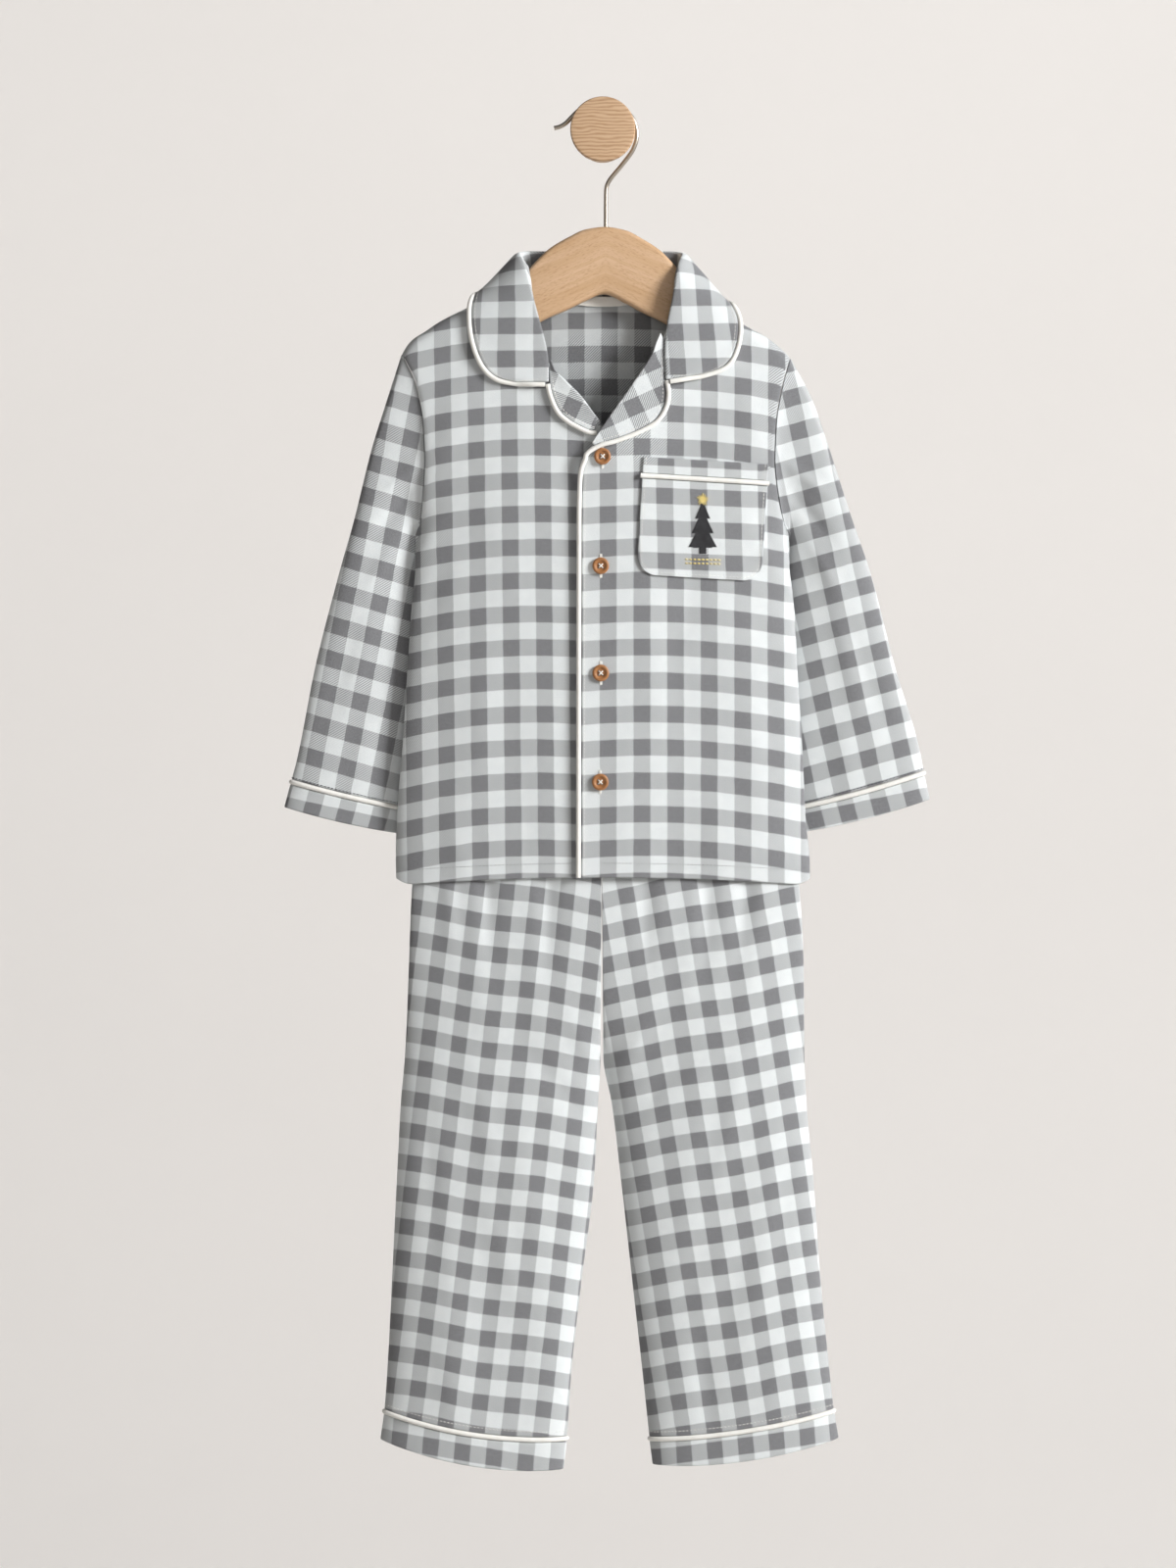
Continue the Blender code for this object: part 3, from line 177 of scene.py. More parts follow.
# Side outline of the jacket body down the armhole seam and the side seam
BODY_EDGE = {
    RIGHT: table(
        "z x",
        (-577, 157.5), (-552, 158), (-515, 156.5), (-470, 153), (-410, 149), (-365, 146),
        (-331, 143), (-311, 143.4), (-300, 139.5), (-282, 137.5), (-252, 135.8), (-222, 137.3), (-194, 142.5),
        (-170.7, 153),
    ),
    LEFT: table(
        "z x",
        (-577, 158.5), (-556, 158), (-530, 155.3), (-500, 153.8), (-455, 151.5), (-410, 148.5),
        (-365, 146.5), (-331, 142.5), (-311, 142.4), (-300, 138.5), (-282, 134.5), (-252, 131.3),
        (-222, 132.6), (-194, 137.5), (-174, 143),
    ),
}

# Half widths over which the jacket rounds off, and its depth before and behind the mid plane
BODY_SECTION = table(
    "z right left front back",
    (-577, 157.5, 158.5, 13.6, 9.5), (-515, 156.5, 154.6, 14, 10), (-410, 149, 148.5, 14.2, 10),
    (-331, 143, 142.5, 14, 10), (-300, 139.5, 138.5, 14, 10), (-285, 143.5, 140.5, 14, 10),
    (-260, 154, 148, 14, 10), (-230, 168, 160, 14, 10), (-200, 182, 172, 13.8, 10),
    (-171, 200, 190, 13.4, 10), (-100, 230, 230, 13, 10),
)

# Inner edge of each front: neckline, fold of the lapel, front edge
FRONT_EDGE = {
    RIGHT: table(
        "z x",
        (-577, 14), (-262, 14), (-248, 11.5), (-236, 6.5), (-225, 0), (-216, -6.8),
        (-203, -16.5), (-190.5, -28.5), (-181, -39.5), (-171, -44.5), (-150, -50), (-130, -55), (-104, -60),
    ),
    LEFT: table(
        "z x",
        (-577, -16.6), (-290, -16), (-263, -15), (-249, -12.2), (-238.5, -7.5), (-229.5, -1.5),
        (-216, 7.3), (-199.5, 19.2), (-184.5, 29.8), (-171, 40), (-162, 45), (-148.5, 50),
        (-130, 55), (-101, 60),
    ),
}

# Soft folds in the hanging cloth: middle, direction from vertical, half length, half width, height
JACKET_FOLDS = table(
    CREASE,
    (-96, -470, -6, 95, 13, 1), (-60, -520, 4, 60, 11, -0.8), (118, -480, 8, 90, 14, 1.1),
    (86, -535, -3, 45, 12, 0.8), (-118, -235, -18, 45, 10, 0.9), (112, -222, 20, 40, 10, 0.9),
)
TROUSER_FOLDS = table(
    CREASE,
    (-92, -610, 3, 80, 12, 1.4), (-46, -625, 1, 85, 11, 1.2), (34, -625, -2, 80, 11, 1.3),
    (74, -610, -2, 75, 12, 1.3), (112, -640, -6, 85, 12, 1.2), (-60, -800, 10, 110, 14, 1.5),
    (-112, -905, 8, 95, 14, 1.3), (70, -790, -8, 110, 14, 1.4), (118, -900, -10, 95, 14, 1.4),
)

# Collar stations from the front corner round the neck: foot, roll, outer edge, and the radius of the roll
COLLAR_COLUMNS = "foot_x foot_y foot_z roll_x roll_y roll_z edge_x edge_y edge_z radius"
COLLAR = {
    RIGHT: table(
        COLLAR_COLUMNS,
        (-46.5, -47, -192, -42, -48, -192.6, -66, -47, -192.4, 1),
        (-46.5, -47, -188, -42, -48, -188.5, -79.5, -46.6, -189.3, 1),
        (-47, -47, -181.5, -42.2, -48, -181.5, -88.5, -45.8, -182.3, 1),
        (-48, -47, -170, -43.2, -48, -170, -95, -45.4, -170.5, 1),
        (-51, -47, -155, -46.6, -48, -155, -99.2, -44.4, -154.5, 1),
        (-55, -46, -138.5, -51.2, -47, -138, -100.2, -41.5, -138, 1.1),
        (-54.6, -44, -120.5, -56, -45.2, -117.5, -98.6, -39, -128.5, 1.4),
        (-56.4, -38.4, -106.5, -60.8, -38.5, -101.5, -96, -31.5, -123.5, 1.8),
        (-58.6, -30, -102, -64, -29.5, -94, -92, -22, -122, 2.1),
        (-56.8, -22.8, -104.2, -61.5, -22, -91.8, -87, -17, -125, 2.4),
        (-46, -20.6, -112.4, -52, -17.8, -91, -72, -14.2, -131, 2.7),
        (-26, -20.2, -121.8, -30, -16.6, -91, -39, -13.2, -139, 3),
    ),
    LEFT: table(
        COLLAR_COLUMNS,
        (53.5, -47, -190, 49, -48, -190.8, 75, -47, -186.6, 1),
        (53.3, -47, -186.5, 48.8, -48, -187, 89.5, -46.2, -181.8, 1),
        (53.2, -47, -179.5, 48.6, -48, -179.5, 97, -45.6, -175.5, 1),
        (53, -47, -167.5, 48.4, -48, -167.5, 101.4, -45, -165.8, 1),
        (54.2, -47, -151.5, 49.6, -48, -151.5, 103.6, -43.6, -153, 1),
        (56.8, -45, -135, 52.8, -46.5, -134.5, 102.4, -40.4, -142, 1.1),
        (55, -44.3, -118.5, 56, -45.2, -115.5, 98.5, -38.6, -133.5, 1.4),
        (56.6, -38.4, -106.5, 58.8, -38, -101, 95.5, -31, -130, 1.8),
        (58.8, -30, -102.4, 61.5, -29, -94.5, 92, -22, -127.5, 2.1),
        (57, -22.8, -104.6, 59.5, -22, -92.2, 86, -17, -129, 2.4),
        (46, -20.6, -112.4, 51, -17.8, -91, 72, -14.2, -134, 2.7),
        (26, -20.2, -121.8, 30, -16.6, -91, 39, -13.2, -140, 3),
    ),
}
COLLAR_BACK = table(COLLAR_COLUMNS, (0, -20, -126, 0, -16.2, -91, 0, -12.8, -142.5, 3))[0]
COLLAR_SIDE_Y = -45.5
COLLAR_UNDER = 2.0
COLLAR_OVER_ROLL = 4.2
COLLAR_OVER_EDGE = 3.3
COLLAR_SETTLE = (7, 28)
NECK_CENTRE_Y = -34.0
FALL_BULGE = 1.2
FALL_COLUMNS = 4
NOTCH_SHARE = 0.2
LAPEL_PIPING_TUCK = 2.0
COLLAR_FLAT_ROW = 15

# Lapel facings, from the gorge down to the top of the front edge: the fold and the outer edge
LAPEL = {
    RIGHT: table(
        "fold_x fold_z edge_x edge_z",
        (-39.6, -175.5, -40.2, -178.5), (-36.3, -183.5, -40.3, -188), (-32.4, -187.5, -40, -194),
        (-28.3, -191.5, -37.8, -203.5), (-22.3, -197.5, -32.6, -214.5), (-16.3, -204, -25.6, -221),
        (-11.3, -210.3, -17.6, -225.7), (-6.6, -216.7, -9.8, -229.2), (-4.4, -220, -6.4, -229.4),
    ),
    LEFT: table(
        "fold_x fold_z edge_x edge_z",
        (44, -155, 45.9, -158.5), (40.6, -162.5, 46.2, -170.5), (37.6, -171, 46.6, -183),
        (31, -181.7, 47, -191.8), (25, -190.5, 48.3, -201), (19, -199.5, 46.8, -211),
        (13.2, -207.7, 41.2, -220.3), (7.2, -215.9, 32.5, -226.4), (2.3, -223, 21, -231.8),
        (-1.8, -229.3, 8.4, -236.4), (-6, -235.8, -2.6, -239.4), (-8.2, -239.3, -6.8, -241.2),
    ),
}
LAPEL_FOLD_LIFT = 1.5

# Heights of the left front's piping below the lapel, and how soon it leaves the cloth's face
FRONT_PIPING_ROWS = [-247, -252, -258, -265, -275, -290, -315, -340, -365, -390, -420, -450, -480, -510, -540]
FRONT_PIPING_SETTLE = 16.0
EDGE_PIPING_PROUD = 0.4

# Sleeves: y of the flattened tube's folds and its swell before and behind them, for both, and for each side
# the folds as seen from the front and the sag between them
SLEEVE_DEPTH = table(
    "down outer_y inner_y front back",
    (0, -30, -30, 13, 9), (38, -29.5, -24, 10.5, 10), (76, -28.5, -18.5, 9, 12), (132, -27, -14.5, 8.5, 11),
    (179, -25, -13.5, 8.5, 9), (250, -22, -13, 8, 7.5), (322, -20, -13, 7.6, 7), (340, -20, -13, 7.6, 6.8),
    (361, -20, -13, 7.6, 6.6),
)
SLEEVE = {
    RIGHT: table(
        TUBE_SIDE,
        (0, -153.5, -171, -139.5, -301, 0), (38, -165, -207, -144.5, -311, 0),
        (76, -176.3, -243, -143, -326, 0), (132, -189.8, -297, -138, -352, 0),
        (179, -202.5, -342, -135.5, -382, 0), (250, -219.8, -409.5, -134, -440, 0),
        (322, -234, -480.8, -134.5, -503.5, 1), (340, -238.6, -498, -135, -521.5, 1.5),
        (361, -243.8, -517.5, -138, -540, 2.5),
    ),
    LEFT: table(
        TUBE_SIDE,
        (0, 143.5, -174.5, 138.5, -301, 0), (38, 159.5, -205, 143.5, -311, 0), (76, 172, -240, 142, -326, 0),
        (132, 190, -295, 137.5, -352, 0), (179, 205, -339, 135.5, -381, 0),
        (250, 223.5, -409.5, 134, -437, 0), (322, 242.3, -472, 136, -500, 1.5),
        (340, 246, -491.3, 137, -520.5, 2), (361, 250.4, -511.5, 140, -538.5, 3),
    ),
}

# Trouser legs in the same way; the inner fold is the centre seam above the crotch
LEG_DEPTH = table(
    "down outer_y inner_y front back",
    (0, -31, -31, 8, 5.5), (30, -31, -31, 8.5, 6), (63, -31, -31, 9, 6.5), (125, -31, -31, 11, 8),
    (165, -30.5, -30.5, 12.5, 9), (194, -30, -30, 13, 9.5), (229, -30, -30, 14, 10),
    (285, -30, -30, 14.5, 10.5), (367, -30, -30, 14.5, 11), (434, -30, -30, 14, 11),
    (485, -30, -30, 13, 10.5), (509, -30, -30, 13, 10.5),
)
LEG = {
    RIGHT: table(
        TUBE_SIDE,
        (0, -122, -515, -0.95, -515, 0), (30, -139, -545, -0.95, -545, 0), (63, -145.5, -578, -0.95, -578, 0),
        (125, -148, -640, -1.35, -640, 0), (165, -149.5, -680, -2, -680, 0), (194, -151, -709, -2.2, -709, 0),
        (229, -154, -743, -4.2, -744, 0), (285, -156.8, -796, -7, -800, 0), (367, -160.3, -868, -17, -882, 2),
        (434, -163.5, -933, -24.5, -949.5, 4.5), (485, -166.7, -980, -28, -1000.5, 6.6),
        (509, -169.6, -1001.5, -30.6, -1024, 8),
    ),
    LEFT: table(
        TUBE_SIDE,
        (0, 122.5, -515, -0.55, -515, 0), (30, 142, -545, -0.55, -545, 0), (63, 150, -578, -0.55, -578, 0),
        (125, 153.4, -640, 0.05, -640, 0), (165, 153.7, -680, 0.7, -680, 0), (194, 154, -709, 1, -709, 0),
        (229, 155.5, -744, 7.5, -744, 0), (285, 160.5, -798, 14.3, -800, 0),
        (367, 166, -875, 23.4, -882, 1.5), (434, 172, -938, 31, -949.5, 3),
        (485, 176.6, -979.5, 36.5, -1000.8, 4.2), (509, 180, -1000.5, 39, -1020.5, 6.5),
    ),
}

# Hanger outline at distances from its middle: drop of its upper and lower edge from the top point
HANGER = table(
    "out top bottom",
    (0, 0, 51.5), (15, 2.2, 57.5), (28.5, 8.6, 64.5), (42, 17, 70.5), (52, 26.6, 76),
    (60, 35.6, 80.5), (80, 52.5, 91), (97, 69, 101), (110, 84, 108), (118, 94, 110),
)

# Hook wire from its turned-out tip, over the peg's stem and down into the hanger
HOOK = table(
    "x z",
    (-37.2, 3), (-33, 4), (-28.5, 6.6), (-23.5, 11.6), (-18.8, 16.2), (-12, 19.6), (-3, 20.9),
    (6, 20.4), (14, 18), (20.3, 13.8), (24.6, 7), (26.2, -3), (23.2, -13.5), (15.4, -24.5),
    (7.5, -34), (3.9, -39.4), (2.7, -44), (2.5, -52), (2.4, -84.5),
)

# Peg turned about the y axis: distance from the wall and radius
PEG = table(
    "out radius",
    (0, 20.5), (2.5, 20.5), (6, 18.6), (12, PEG_STEM_RADIUS), (34, PEG_STEM_RADIUS),
    (39.5, 20), (42, 22.8), (43.5, PEG_HEAD_RADIUS), (52.8, PEG_HEAD_RADIUS), (54, 23.8),
)

# Buttons down the middle of the lap
BUTTONS = table("x z", (-0.2, -249.6), (-1.5, -333), (-1.5, -414.8), (-1.9, -498))

# Turned button: radius and height above its flat back
BUTTON_PROFILE = table(
    "radius height",
    (0, 1.2), (3.2, 1.2), (3.6, 1.7), (3.9, 1.75), (4.3, 2.4), (5.3, BUTTON_THICKNESS), (BUTTON_RADIUS, 1.8),
    (6.1, 0.5), (5.2, 0), (0, 0),
)

# ---- Sizes and tables of the finished cloth ----

CLOTH_STEP = 2.8
BAND_STEP = 1.6
TURN_STEP = 0.008
DOWN_STEP = 0.048
NECK_CORNER_GAPS = (0, 0.0016, 0.004)
ROLL_STEP = 0.2
STEP_GROWTH = 1.55
RIM_ROUND = 0.6
RIM_SHARE = 0.72
SEAM_DIP = 0.7
SEAM_DIP_WIDTH = 1.7
UNEVEN_HEIGHT = 0.22
UNEVEN_SPREAD = 46.0
SLEEVE_CALM = 20.0
SLEEVE_SET = 1.8
SLEEVE_SET_LENGTH = 50.0
LEAST_CUT = 10.0
LEAST_SHARE = 0.3
FRONT_ACROSS = 145
FRONT_DOWN = 480
BACK_ACROSS = 320
BACK_DOWN = 470
SLEEVE_GIRTH = 168
LEG_ACROSS = 150
LEG_GIRTH = 300
WAIST_GIRTH = 620
STITCH_INSET = 2.6
POCKET_STITCH_INSET = 2.2
EDGE_STITCH_INSET = 2.4
HEM_STITCH_HEIGHT = 11.0
BAND_STITCH_UP = 3.4
HEM_BAND_STITCH_UP = 6.0
MOTIF_X = 76.2
MOTIF_TOP = -285.5
MOTIF_FOOT = -318.4
MOTIF_HALF_WIDTH = 10.8
MOTIF_TIERS = 3
MOTIF_STAR = 4.8
MOTIF_RAYS = 15
MOTIF_TRUNK = 2.7
MOTIF_PITCH = 0.62
MOTIF_STAR_UP = 3.2

# Studio: metres, and the camera's place before the cloth
FLOOR_Z = -2.2
FLOOR_CURVE = 3.0
ROOM_HEIGHT = 7.0
FRAME_X = -0.01125
FRAME_Z = -0.4995
CLOTH_FRONT_Y = -0.035
LENS_PER_METRE = 30.0

# Creases of each face besides the large folds
JACKET_CREASES = {
    FRONT: table(
        CREASE,
        (-138, -318, -38, 26, 6, 1.4), (-128, -352, -22, 34, 7, -1), (-146, -420, 4, 60, 8, 0.8),
        (-75, -330, 12, 55, 12, 0.8), (-30, -470, -3, 70, 9, -0.4), (-112, -545, 14, 30, 9, 1),
        (40, -420, 3, 80, 10, 0.5), (62, -380, -9, 46, 9, -0.8), (128, -330, 34, 28, 6, 1.4),
        (118, -372, 20, 30, 7, -0.8), (142, -440, -5, 55, 8, 0.8), (100, -560, -12, 22, 10, 1),
        (-92, -172, -50, 18, 7, 0.8), (98, -176, 48, 18, 7, 0.8),
    ),
    BACK: table(
        CREASE,
        (-40, -300, 4, 120, 13, 1.3), (22, -340, -3, 140, 12, -1), (70, -290, -9, 90, 11, 1.1),
        (-95, -350, 8, 70, 9, 1), (-128, -320, 32, 30, 6, 1.1), (126, -318, -35, 30, 6, 1.1),
        (-60, -520, 2, 46, 10, 0.8), (50, -505, -5, 60, 12, 1), (118, -470, 7, 52, 9, -0.7),
        (0, -175, 90, 34, 8, 0.7),
    ),
}
TROUSER_CREASES = {
    FRONT: table(
        CREASE,
        (-88, -585, 2, 56, 8, -3), (-42, -592, -1, 62, 8, -3), (33, -590, 1, 64, 8, -3),
        (79, -588, -2, 56, 8, -3), (110, -582, -4, 50, 8, -3), (-118, -590, 4, 40, 6, 1.4),
        (-14, -700, 24, 30, 7, 1.6), (22, -704, -26, 30, 7, 1.6), (-30, -735, 40, 34, 7, -1.4),
        (38, -738, -42, 36, 7, -1.4), (-88, -765, 12, 62, 10, 1.4), (-132, -800, 3, 70, 8, -1.2),
        (-75, -860, 20, 50, 9, 1.2), (-118, -955, 6, 40, 10, 1.2), (-60, -950, -4, 42, 8, -1.2),
        (96, -770, -10, 60, 10, 1.4), (140, -812, -4, 66, 8, -1.2), (88, -868, -22, 52, 9, 1.2),
        (132, -950, -8, 44, 10, 1.2), (78, -958, 6, 40, 8, -1.2),
    ),
    BACK: table(
        CREASE,
        (-80, -600, 3, 60, 7, 1.4), (-30, -610, -2, 70, 8, -1.2), (36, -600, 2, 64, 7, 1.4),
        (88, -606, -4, 60, 8, -1.2), (-20, -715, -30, 34, 8, 1.4), (26, -716, 30, 34, 8, 1.4),
        (-98, -790, 8, 90, 12, 1.2), (-66, -900, -6, 60, 9, -1), (102, -800, -8, 90, 12, 1.2),
        (80, -905, 7, 60, 9, -1), (-128, -960, 4, 40, 9, 0.9), (142, -950, -6, 44, 9, 0.9),
    ),
}
SLEEVE_CREASES = {
    FRONT: table(
        CREASE,
        (-158, -268, -52, 22, 5, 1.4), (-160, -292, -40, 26, 5, -1.3), (-168, -330, -30, 30, 6, 1.3),
        (-182, -392, -14, 46, 8, 1.1), (-206, -430, -18, 40, 8, -1), (-184, -478, -12, 30, 9, 1),
        (156, -266, 52, 22, 5, 1.4), (160, -294, 40, 26, 5, -1.3), (170, -334, 30, 32, 6, 1.3),
        (186, -396, 14, 46, 8, 1.1), (210, -432, 20, 40, 8, -1), (188, -480, 12, 30, 9, 1),
    ),
    BACK: table(
        CREASE,
        (-156, -285, -44, 24, 6, 1.3), (-176, -350, -22, 40, 8, 1.1), (-204, -440, -16, 44, 9, 0.8),
        (156, -285, 44, 24, 6, 1.3), (180, -352, 22, 40, 8, 1.1), (208, -442, 16, 44, 9, 0.8),
    ),
}

# How the checks lie: the middle of one pale square, how fast the stripes' u grows with x and z and how they
# fan out, how fast the rows' v grows, and the rows' drop from a crown and their ripple
GRAIN = table(
    "name x z ux uz fan vx vz crown drop ripple",
    ("jacket_front_right", -57, -408, 1.01, 0.01, 0, 0, 1, -52, 0.0012, 0),
    ("jacket_front_left", 17, -433.5, 0.99, 0, 0, 0, 1, 34, 0.0009, 0),
    ("jacket_back", -7.5, -233, 1, 0, 0, 0, 1, 0, 0.0006, 0),
    ("sleeve_right", -196, -420.5, 0.97, -0.19, 0, 0.28, 0.96, -190, 0, 0),
    ("sleeve_left", 197.5, -388.5, 0.97, 0.21, 0, -0.27, 0.96, 190, 0, 0),
    ("cuff_right", -189, -540.5, 0.96, -0.27, 0, 0.21, 0.98, -190, 0, 0),
    ("cuff_left", 179, -536.5, 0.96, 0.27, 0, -0.21, 0.98, 190, 0, 0),
    ("trouser_right", -79, -740, 1.07, -0.12, 0.13, 0.17, 1.04, -71, 0, -1.1),
    ("trouser_left", 83.5, -757.5, 1.05, 0.17, -0.14, -0.19, 1.03, 80, 0, 0.9),
    ("hem_band_right", -120.5, -1020.5, 1.04, -0.09, 0, 0.17, 0.98, -80, 0, 0),
    ("hem_band_left", 120, -990.5, 1.07, 0.09, 0, -0.14, 0.99, 80, 0, 0),
    ("collar_right", -87.5, -136.5, 0.92, 0, 0, 0, 0.99, -70, 0, 0),
    ("collar_left", 64.5, -116, 1.05, 0.08, 0, -0.01, 0.98, 80, 0, 0),
    ("lapel_right", -30, -195, 0.91, -0.41, 0, 0.41, 0.91, 0, 0, 0),
    ("lapel_left", 30, -195, 0.91, 0.41, 0, -0.41, 0.91, 0, 0, 0),
    ("pocket_bag", 86.5, -293.5, 0.98, 0.02, 0, 0.04, 1.03, 77, 0, 0),
    ("pocket_band", 86.5, -265, 1, 0, 0, 0.05, 1, 77, 0, 0),
)
GRAIN = {row.name: row for row in GRAIN}
RIPPLE_SPAN = 90.0


class Curve:
    """Smooth curve through a table's column, read by another one, that never swings past its rows."""

    def __init__(self, rows, key, column):
        points = sorted((getattr(row, key), getattr(row, column)) for row in rows)
        self.keys, self.values = zip(*points)
        slopes = [(b[1] - a[1]) / (b[0] - a[0]) for a, b in zip(points, points[1:])]
        self.tangents = [slopes[0]]
        for before, after in zip(slopes, slopes[1:]):
            same_way = before * after > 0
            self.tangents.append(2 * before * after / (before + after) if same_way else 0.0)
        self.tangents.append(slopes[-1])

    def __call__(self, at):
        at = min(max(at, self.keys[0]), self.keys[-1])
        i = min(max(bisect_right(self.keys, at) - 1, 0), len(self.keys) - 2)
        span = self.keys[i + 1] - self.keys[i]
        t = (at - self.keys[i]) / span
        rise = (3 - 2 * t) * t * t
        return (
            self.values[i] * (1 - rise)
            + self.values[i + 1] * rise
            + self.tangents[i] * span * t * (1 - t) ** 2
            - self.tangents[i + 1] * span * t * t * (1 - t)
        )


def curves(rows, key):
    """One curve for each column of a table."""
    return {column: Curve(rows, key, column) for column in rows[0]._fields if column != key}


SHOULDER_Z = {side: Curve(SHOULDER[side], "x", "z") for side in SHOULDER}
BODY_X = {side: Curve(BODY_EDGE[side], "z", "x") for side in BODY_EDGE}
SECTION = curves(BODY_SECTION, "z")
FRONT_X = {side: Curve(FRONT_EDGE[side], "z", "x") for side in FRONT_EDGE}
SLEEVE_CURVES, LEG_CURVES = (
    {side: {**curves(tube[side], "down"), **curves(depth, "down")} for side in (RIGHT, LEFT)}
    for tube, depth in ((SLEEVE, SLEEVE_DEPTH), (LEG, LEG_DEPTH))
)


def lerp(a, b, t):
    return a + (b - a) * t


def ease(t):
    """0 to 1 with level ends."""
    t = min(max(t, 0.0), 1.0)
    return t * t * (3 - 2 * t)


def quarter(t):
    """Quarter round from 0 to 1, upright at 0."""
    return math.sqrt(1 - (1 - min(max(t, 0.0), 1.0)) ** 2)


def flat_round(s):
    """Height of a flattened section, from 1 in the middle to 0 at s = -1 and s = 1."""
    return math.sqrt(max(1 - abs(s) ** 3, 0.0))


def fold_height(folds, x, z):
    """Height of the soft folds at a place."""
    height = 0.0
    for fold in folds:
        lean = math.radians(fold.lean)
        across = (x - fold.x) * math.cos(lean) + (z - fold.z) * math.sin(lean)
        along = (z - fold.z) * math.cos(lean) - (x - fold.x) * math.sin(lean)
        height += fold.height * math.exp(-((across / fold.width) ** 2) - (along / fold.length) ** 2)
    return height


def uneven(x, z, seed):
    """Faint unevenness of pressed flannel."""
    wide = noise.noise(Vector((x, z * 0.8, seed * 90)) / UNEVEN_SPREAD)
    fine = noise.noise(Vector((x, z, 300 + seed * 90)) * 3 / UNEVEN_SPREAD)
    return UNEVEN_HEIGHT * (wide * 2 + fine)


def into_seam(distance):
    """How far cloth turns in at a distance from a seam."""
    return SEAM_DIP * math.exp(-((distance / SEAM_DIP_WIDTH) ** 2))


def grid_normals(points, closed=False):
    """Normals of a grid. closed joins its last column to the first."""
    last_row, count = len(points) - 1, len(points[0])
    normals = []
    for i, row in enumerate(points):
        normals.append([])
        for j in range(count):
            after, before = (j + 1 - count, j - 1) if closed else (min(j + 1, count - 1), max(j - 1, 0))
            down = points[min(i + 1, last_row)][j] - points[max(i - 1, 0)][j]
            normals[-1].append((row[after] - row[before]).cross(down).normalized())
    return normals


def beside(points, normals, off):
    """Path beside the edge of a cloth, in its surface."""
    path = []
    last = len(points) - 1
    for i, (point, normal) in enumerate(zip(points, normals)):
        before = (points[i] - points[i - 1]).cross(normal).normalized() if i else None
        after = (points[i + 1] - points[i]).cross(normal).normalized() if i < last else None
        before, after = before or after, after or before
        path.append(point + (before + after) * (off / (1 + before.dot(after))))
    return path


def side_of(x):
    return LEFT if x > 0 else RIGHT


def shoulder_z(x):
    return SHOULDER_Z[side_of(x)](abs(x))


def body_edge_x(side, z):
    """Outer edge of the body at a height: the armhole, then the side seam."""
    return side * BODY_X[side](z)


def body_depth(face, x, z):
    """How far the body stands from the mid plane at a place."""
    half = SECTION["left" if x > 0 else "right"](z)
    depth = SECTION["front" if face == FRONT else "back"](z)
    drop = shoulder_z(x) - z
    swell = RIDGE_HALF * quarter(drop / RIDGE_ROLL) + (depth - RIDGE_HALF) * quarter(drop / SHOULDER_ROLL)
    return swell * flat_round(min(abs(x) / half, 1))


def lap_lift(x, z):
    """How far the left front stands off over the right one, most at the foot of the V."""
    lap = 1 - ease((x - FRONT_X[LEFT](z) - LAP_WIDTH) / LAP_FADE)
    lap *= ease((LAP_TOP_Z - z) / LAP_TOP_FADE)
    away = ((x - V_POINT[0]) ** 2 + (z - V_POINT[1]) ** 2) / V_SPREAD ** 2
    return LAP_LIFT * lap + V_LIFT * math.exp(-away)


def body_y(face, side, x, z):
    """Middle of the body's cloth at a place on its front or back."""
    off = SEAM_GAP / 2 + body_depth(face, x, z)
    if face == FRONT:
        off += lap_lift(x, z) if side == LEFT else 0.0
    calm = flat_round(min(abs(x) / HALF_CHEST, 1))
    folds = fold_height(JACKET_FOLDS, -face * x, z) * FOLD_SHARE[face]
    folds += fold_height(JACKET_CREASES[face], x, z) + uneven(x, z, face)
    return MID_Y + face * (off + folds * calm)


def hem_z(x, outward):
    """Height of the jacket's hem, arched, with rounded corners."""
    arch = HEM_ARCH * (1 - (x / HALF_CHEST) ** 2)
    corner = HEM_CORNER * max((outward - 0.93) / 0.07, 0) ** 2
    return JACKET_HEM_Z + arch + corner


def front_surface(side):
    """Front panel: u runs from its front edge to its side, v from the shoulder to the hem."""

    def place(u, z):
        tip_x = side * SHOULDER_TIP[side]
        edge = body_edge_x(side, z) if z < shoulder_z(tip_x) else tip_x
        return lerp(FRONT_X[side](z), edge, u)

    def surface(u, v):
        top = shoulder_z(side * NECK_HALF_WIDTH)
        for _ in range(12):
            top = shoulder_z(place(u, top))
        z = lerp(top, hem_z(place(u, JACKET_HEM_Z), u), v)
        x = place(u, z)
        return Vector((x, body_y(FRONT, side, x, z) + armhole_dip(side, x, z), z))

    return surface


def armhole_dip(side, x, z):
    """How far the body turns in at the armhole seam."""
    above_underarm = ease((z - UNDERARM_Z) / 12 + 1)
    return into_seam(abs(body_edge_x(side, z) - x)) * above_underarm


def back_neck_z(x):
    """Neck seam of the back."""
    return NECK_SEAM_BACK_Z + NECK_SEAM_RISE * (abs(x) / NECK_HALF_WIDTH) ** 2.4


def back_surface(u, v):
    """Back panel: u runs from the right side to the left one, v from the shoulders to the hem."""
    across = 2 * u - 1
    side = side_of(across)
    tip = SHOULDER_TIP[side]
    top_x = across * tip
    top = back_neck_z(top_x) if abs(top_x) < NECK_HALF_WIDTH else shoulder_z(top_x)
    bottom = hem_z(across * HALF_CHEST, abs(across))
    z = lerp(top, bottom, v)
    edge = BODY_X[side](z) if z < shoulder_z(side * tip) else tip
    x = across * edge
    return Vector((x, body_y(BACK, side, x, z) - armhole_dip(side, x, z), z))


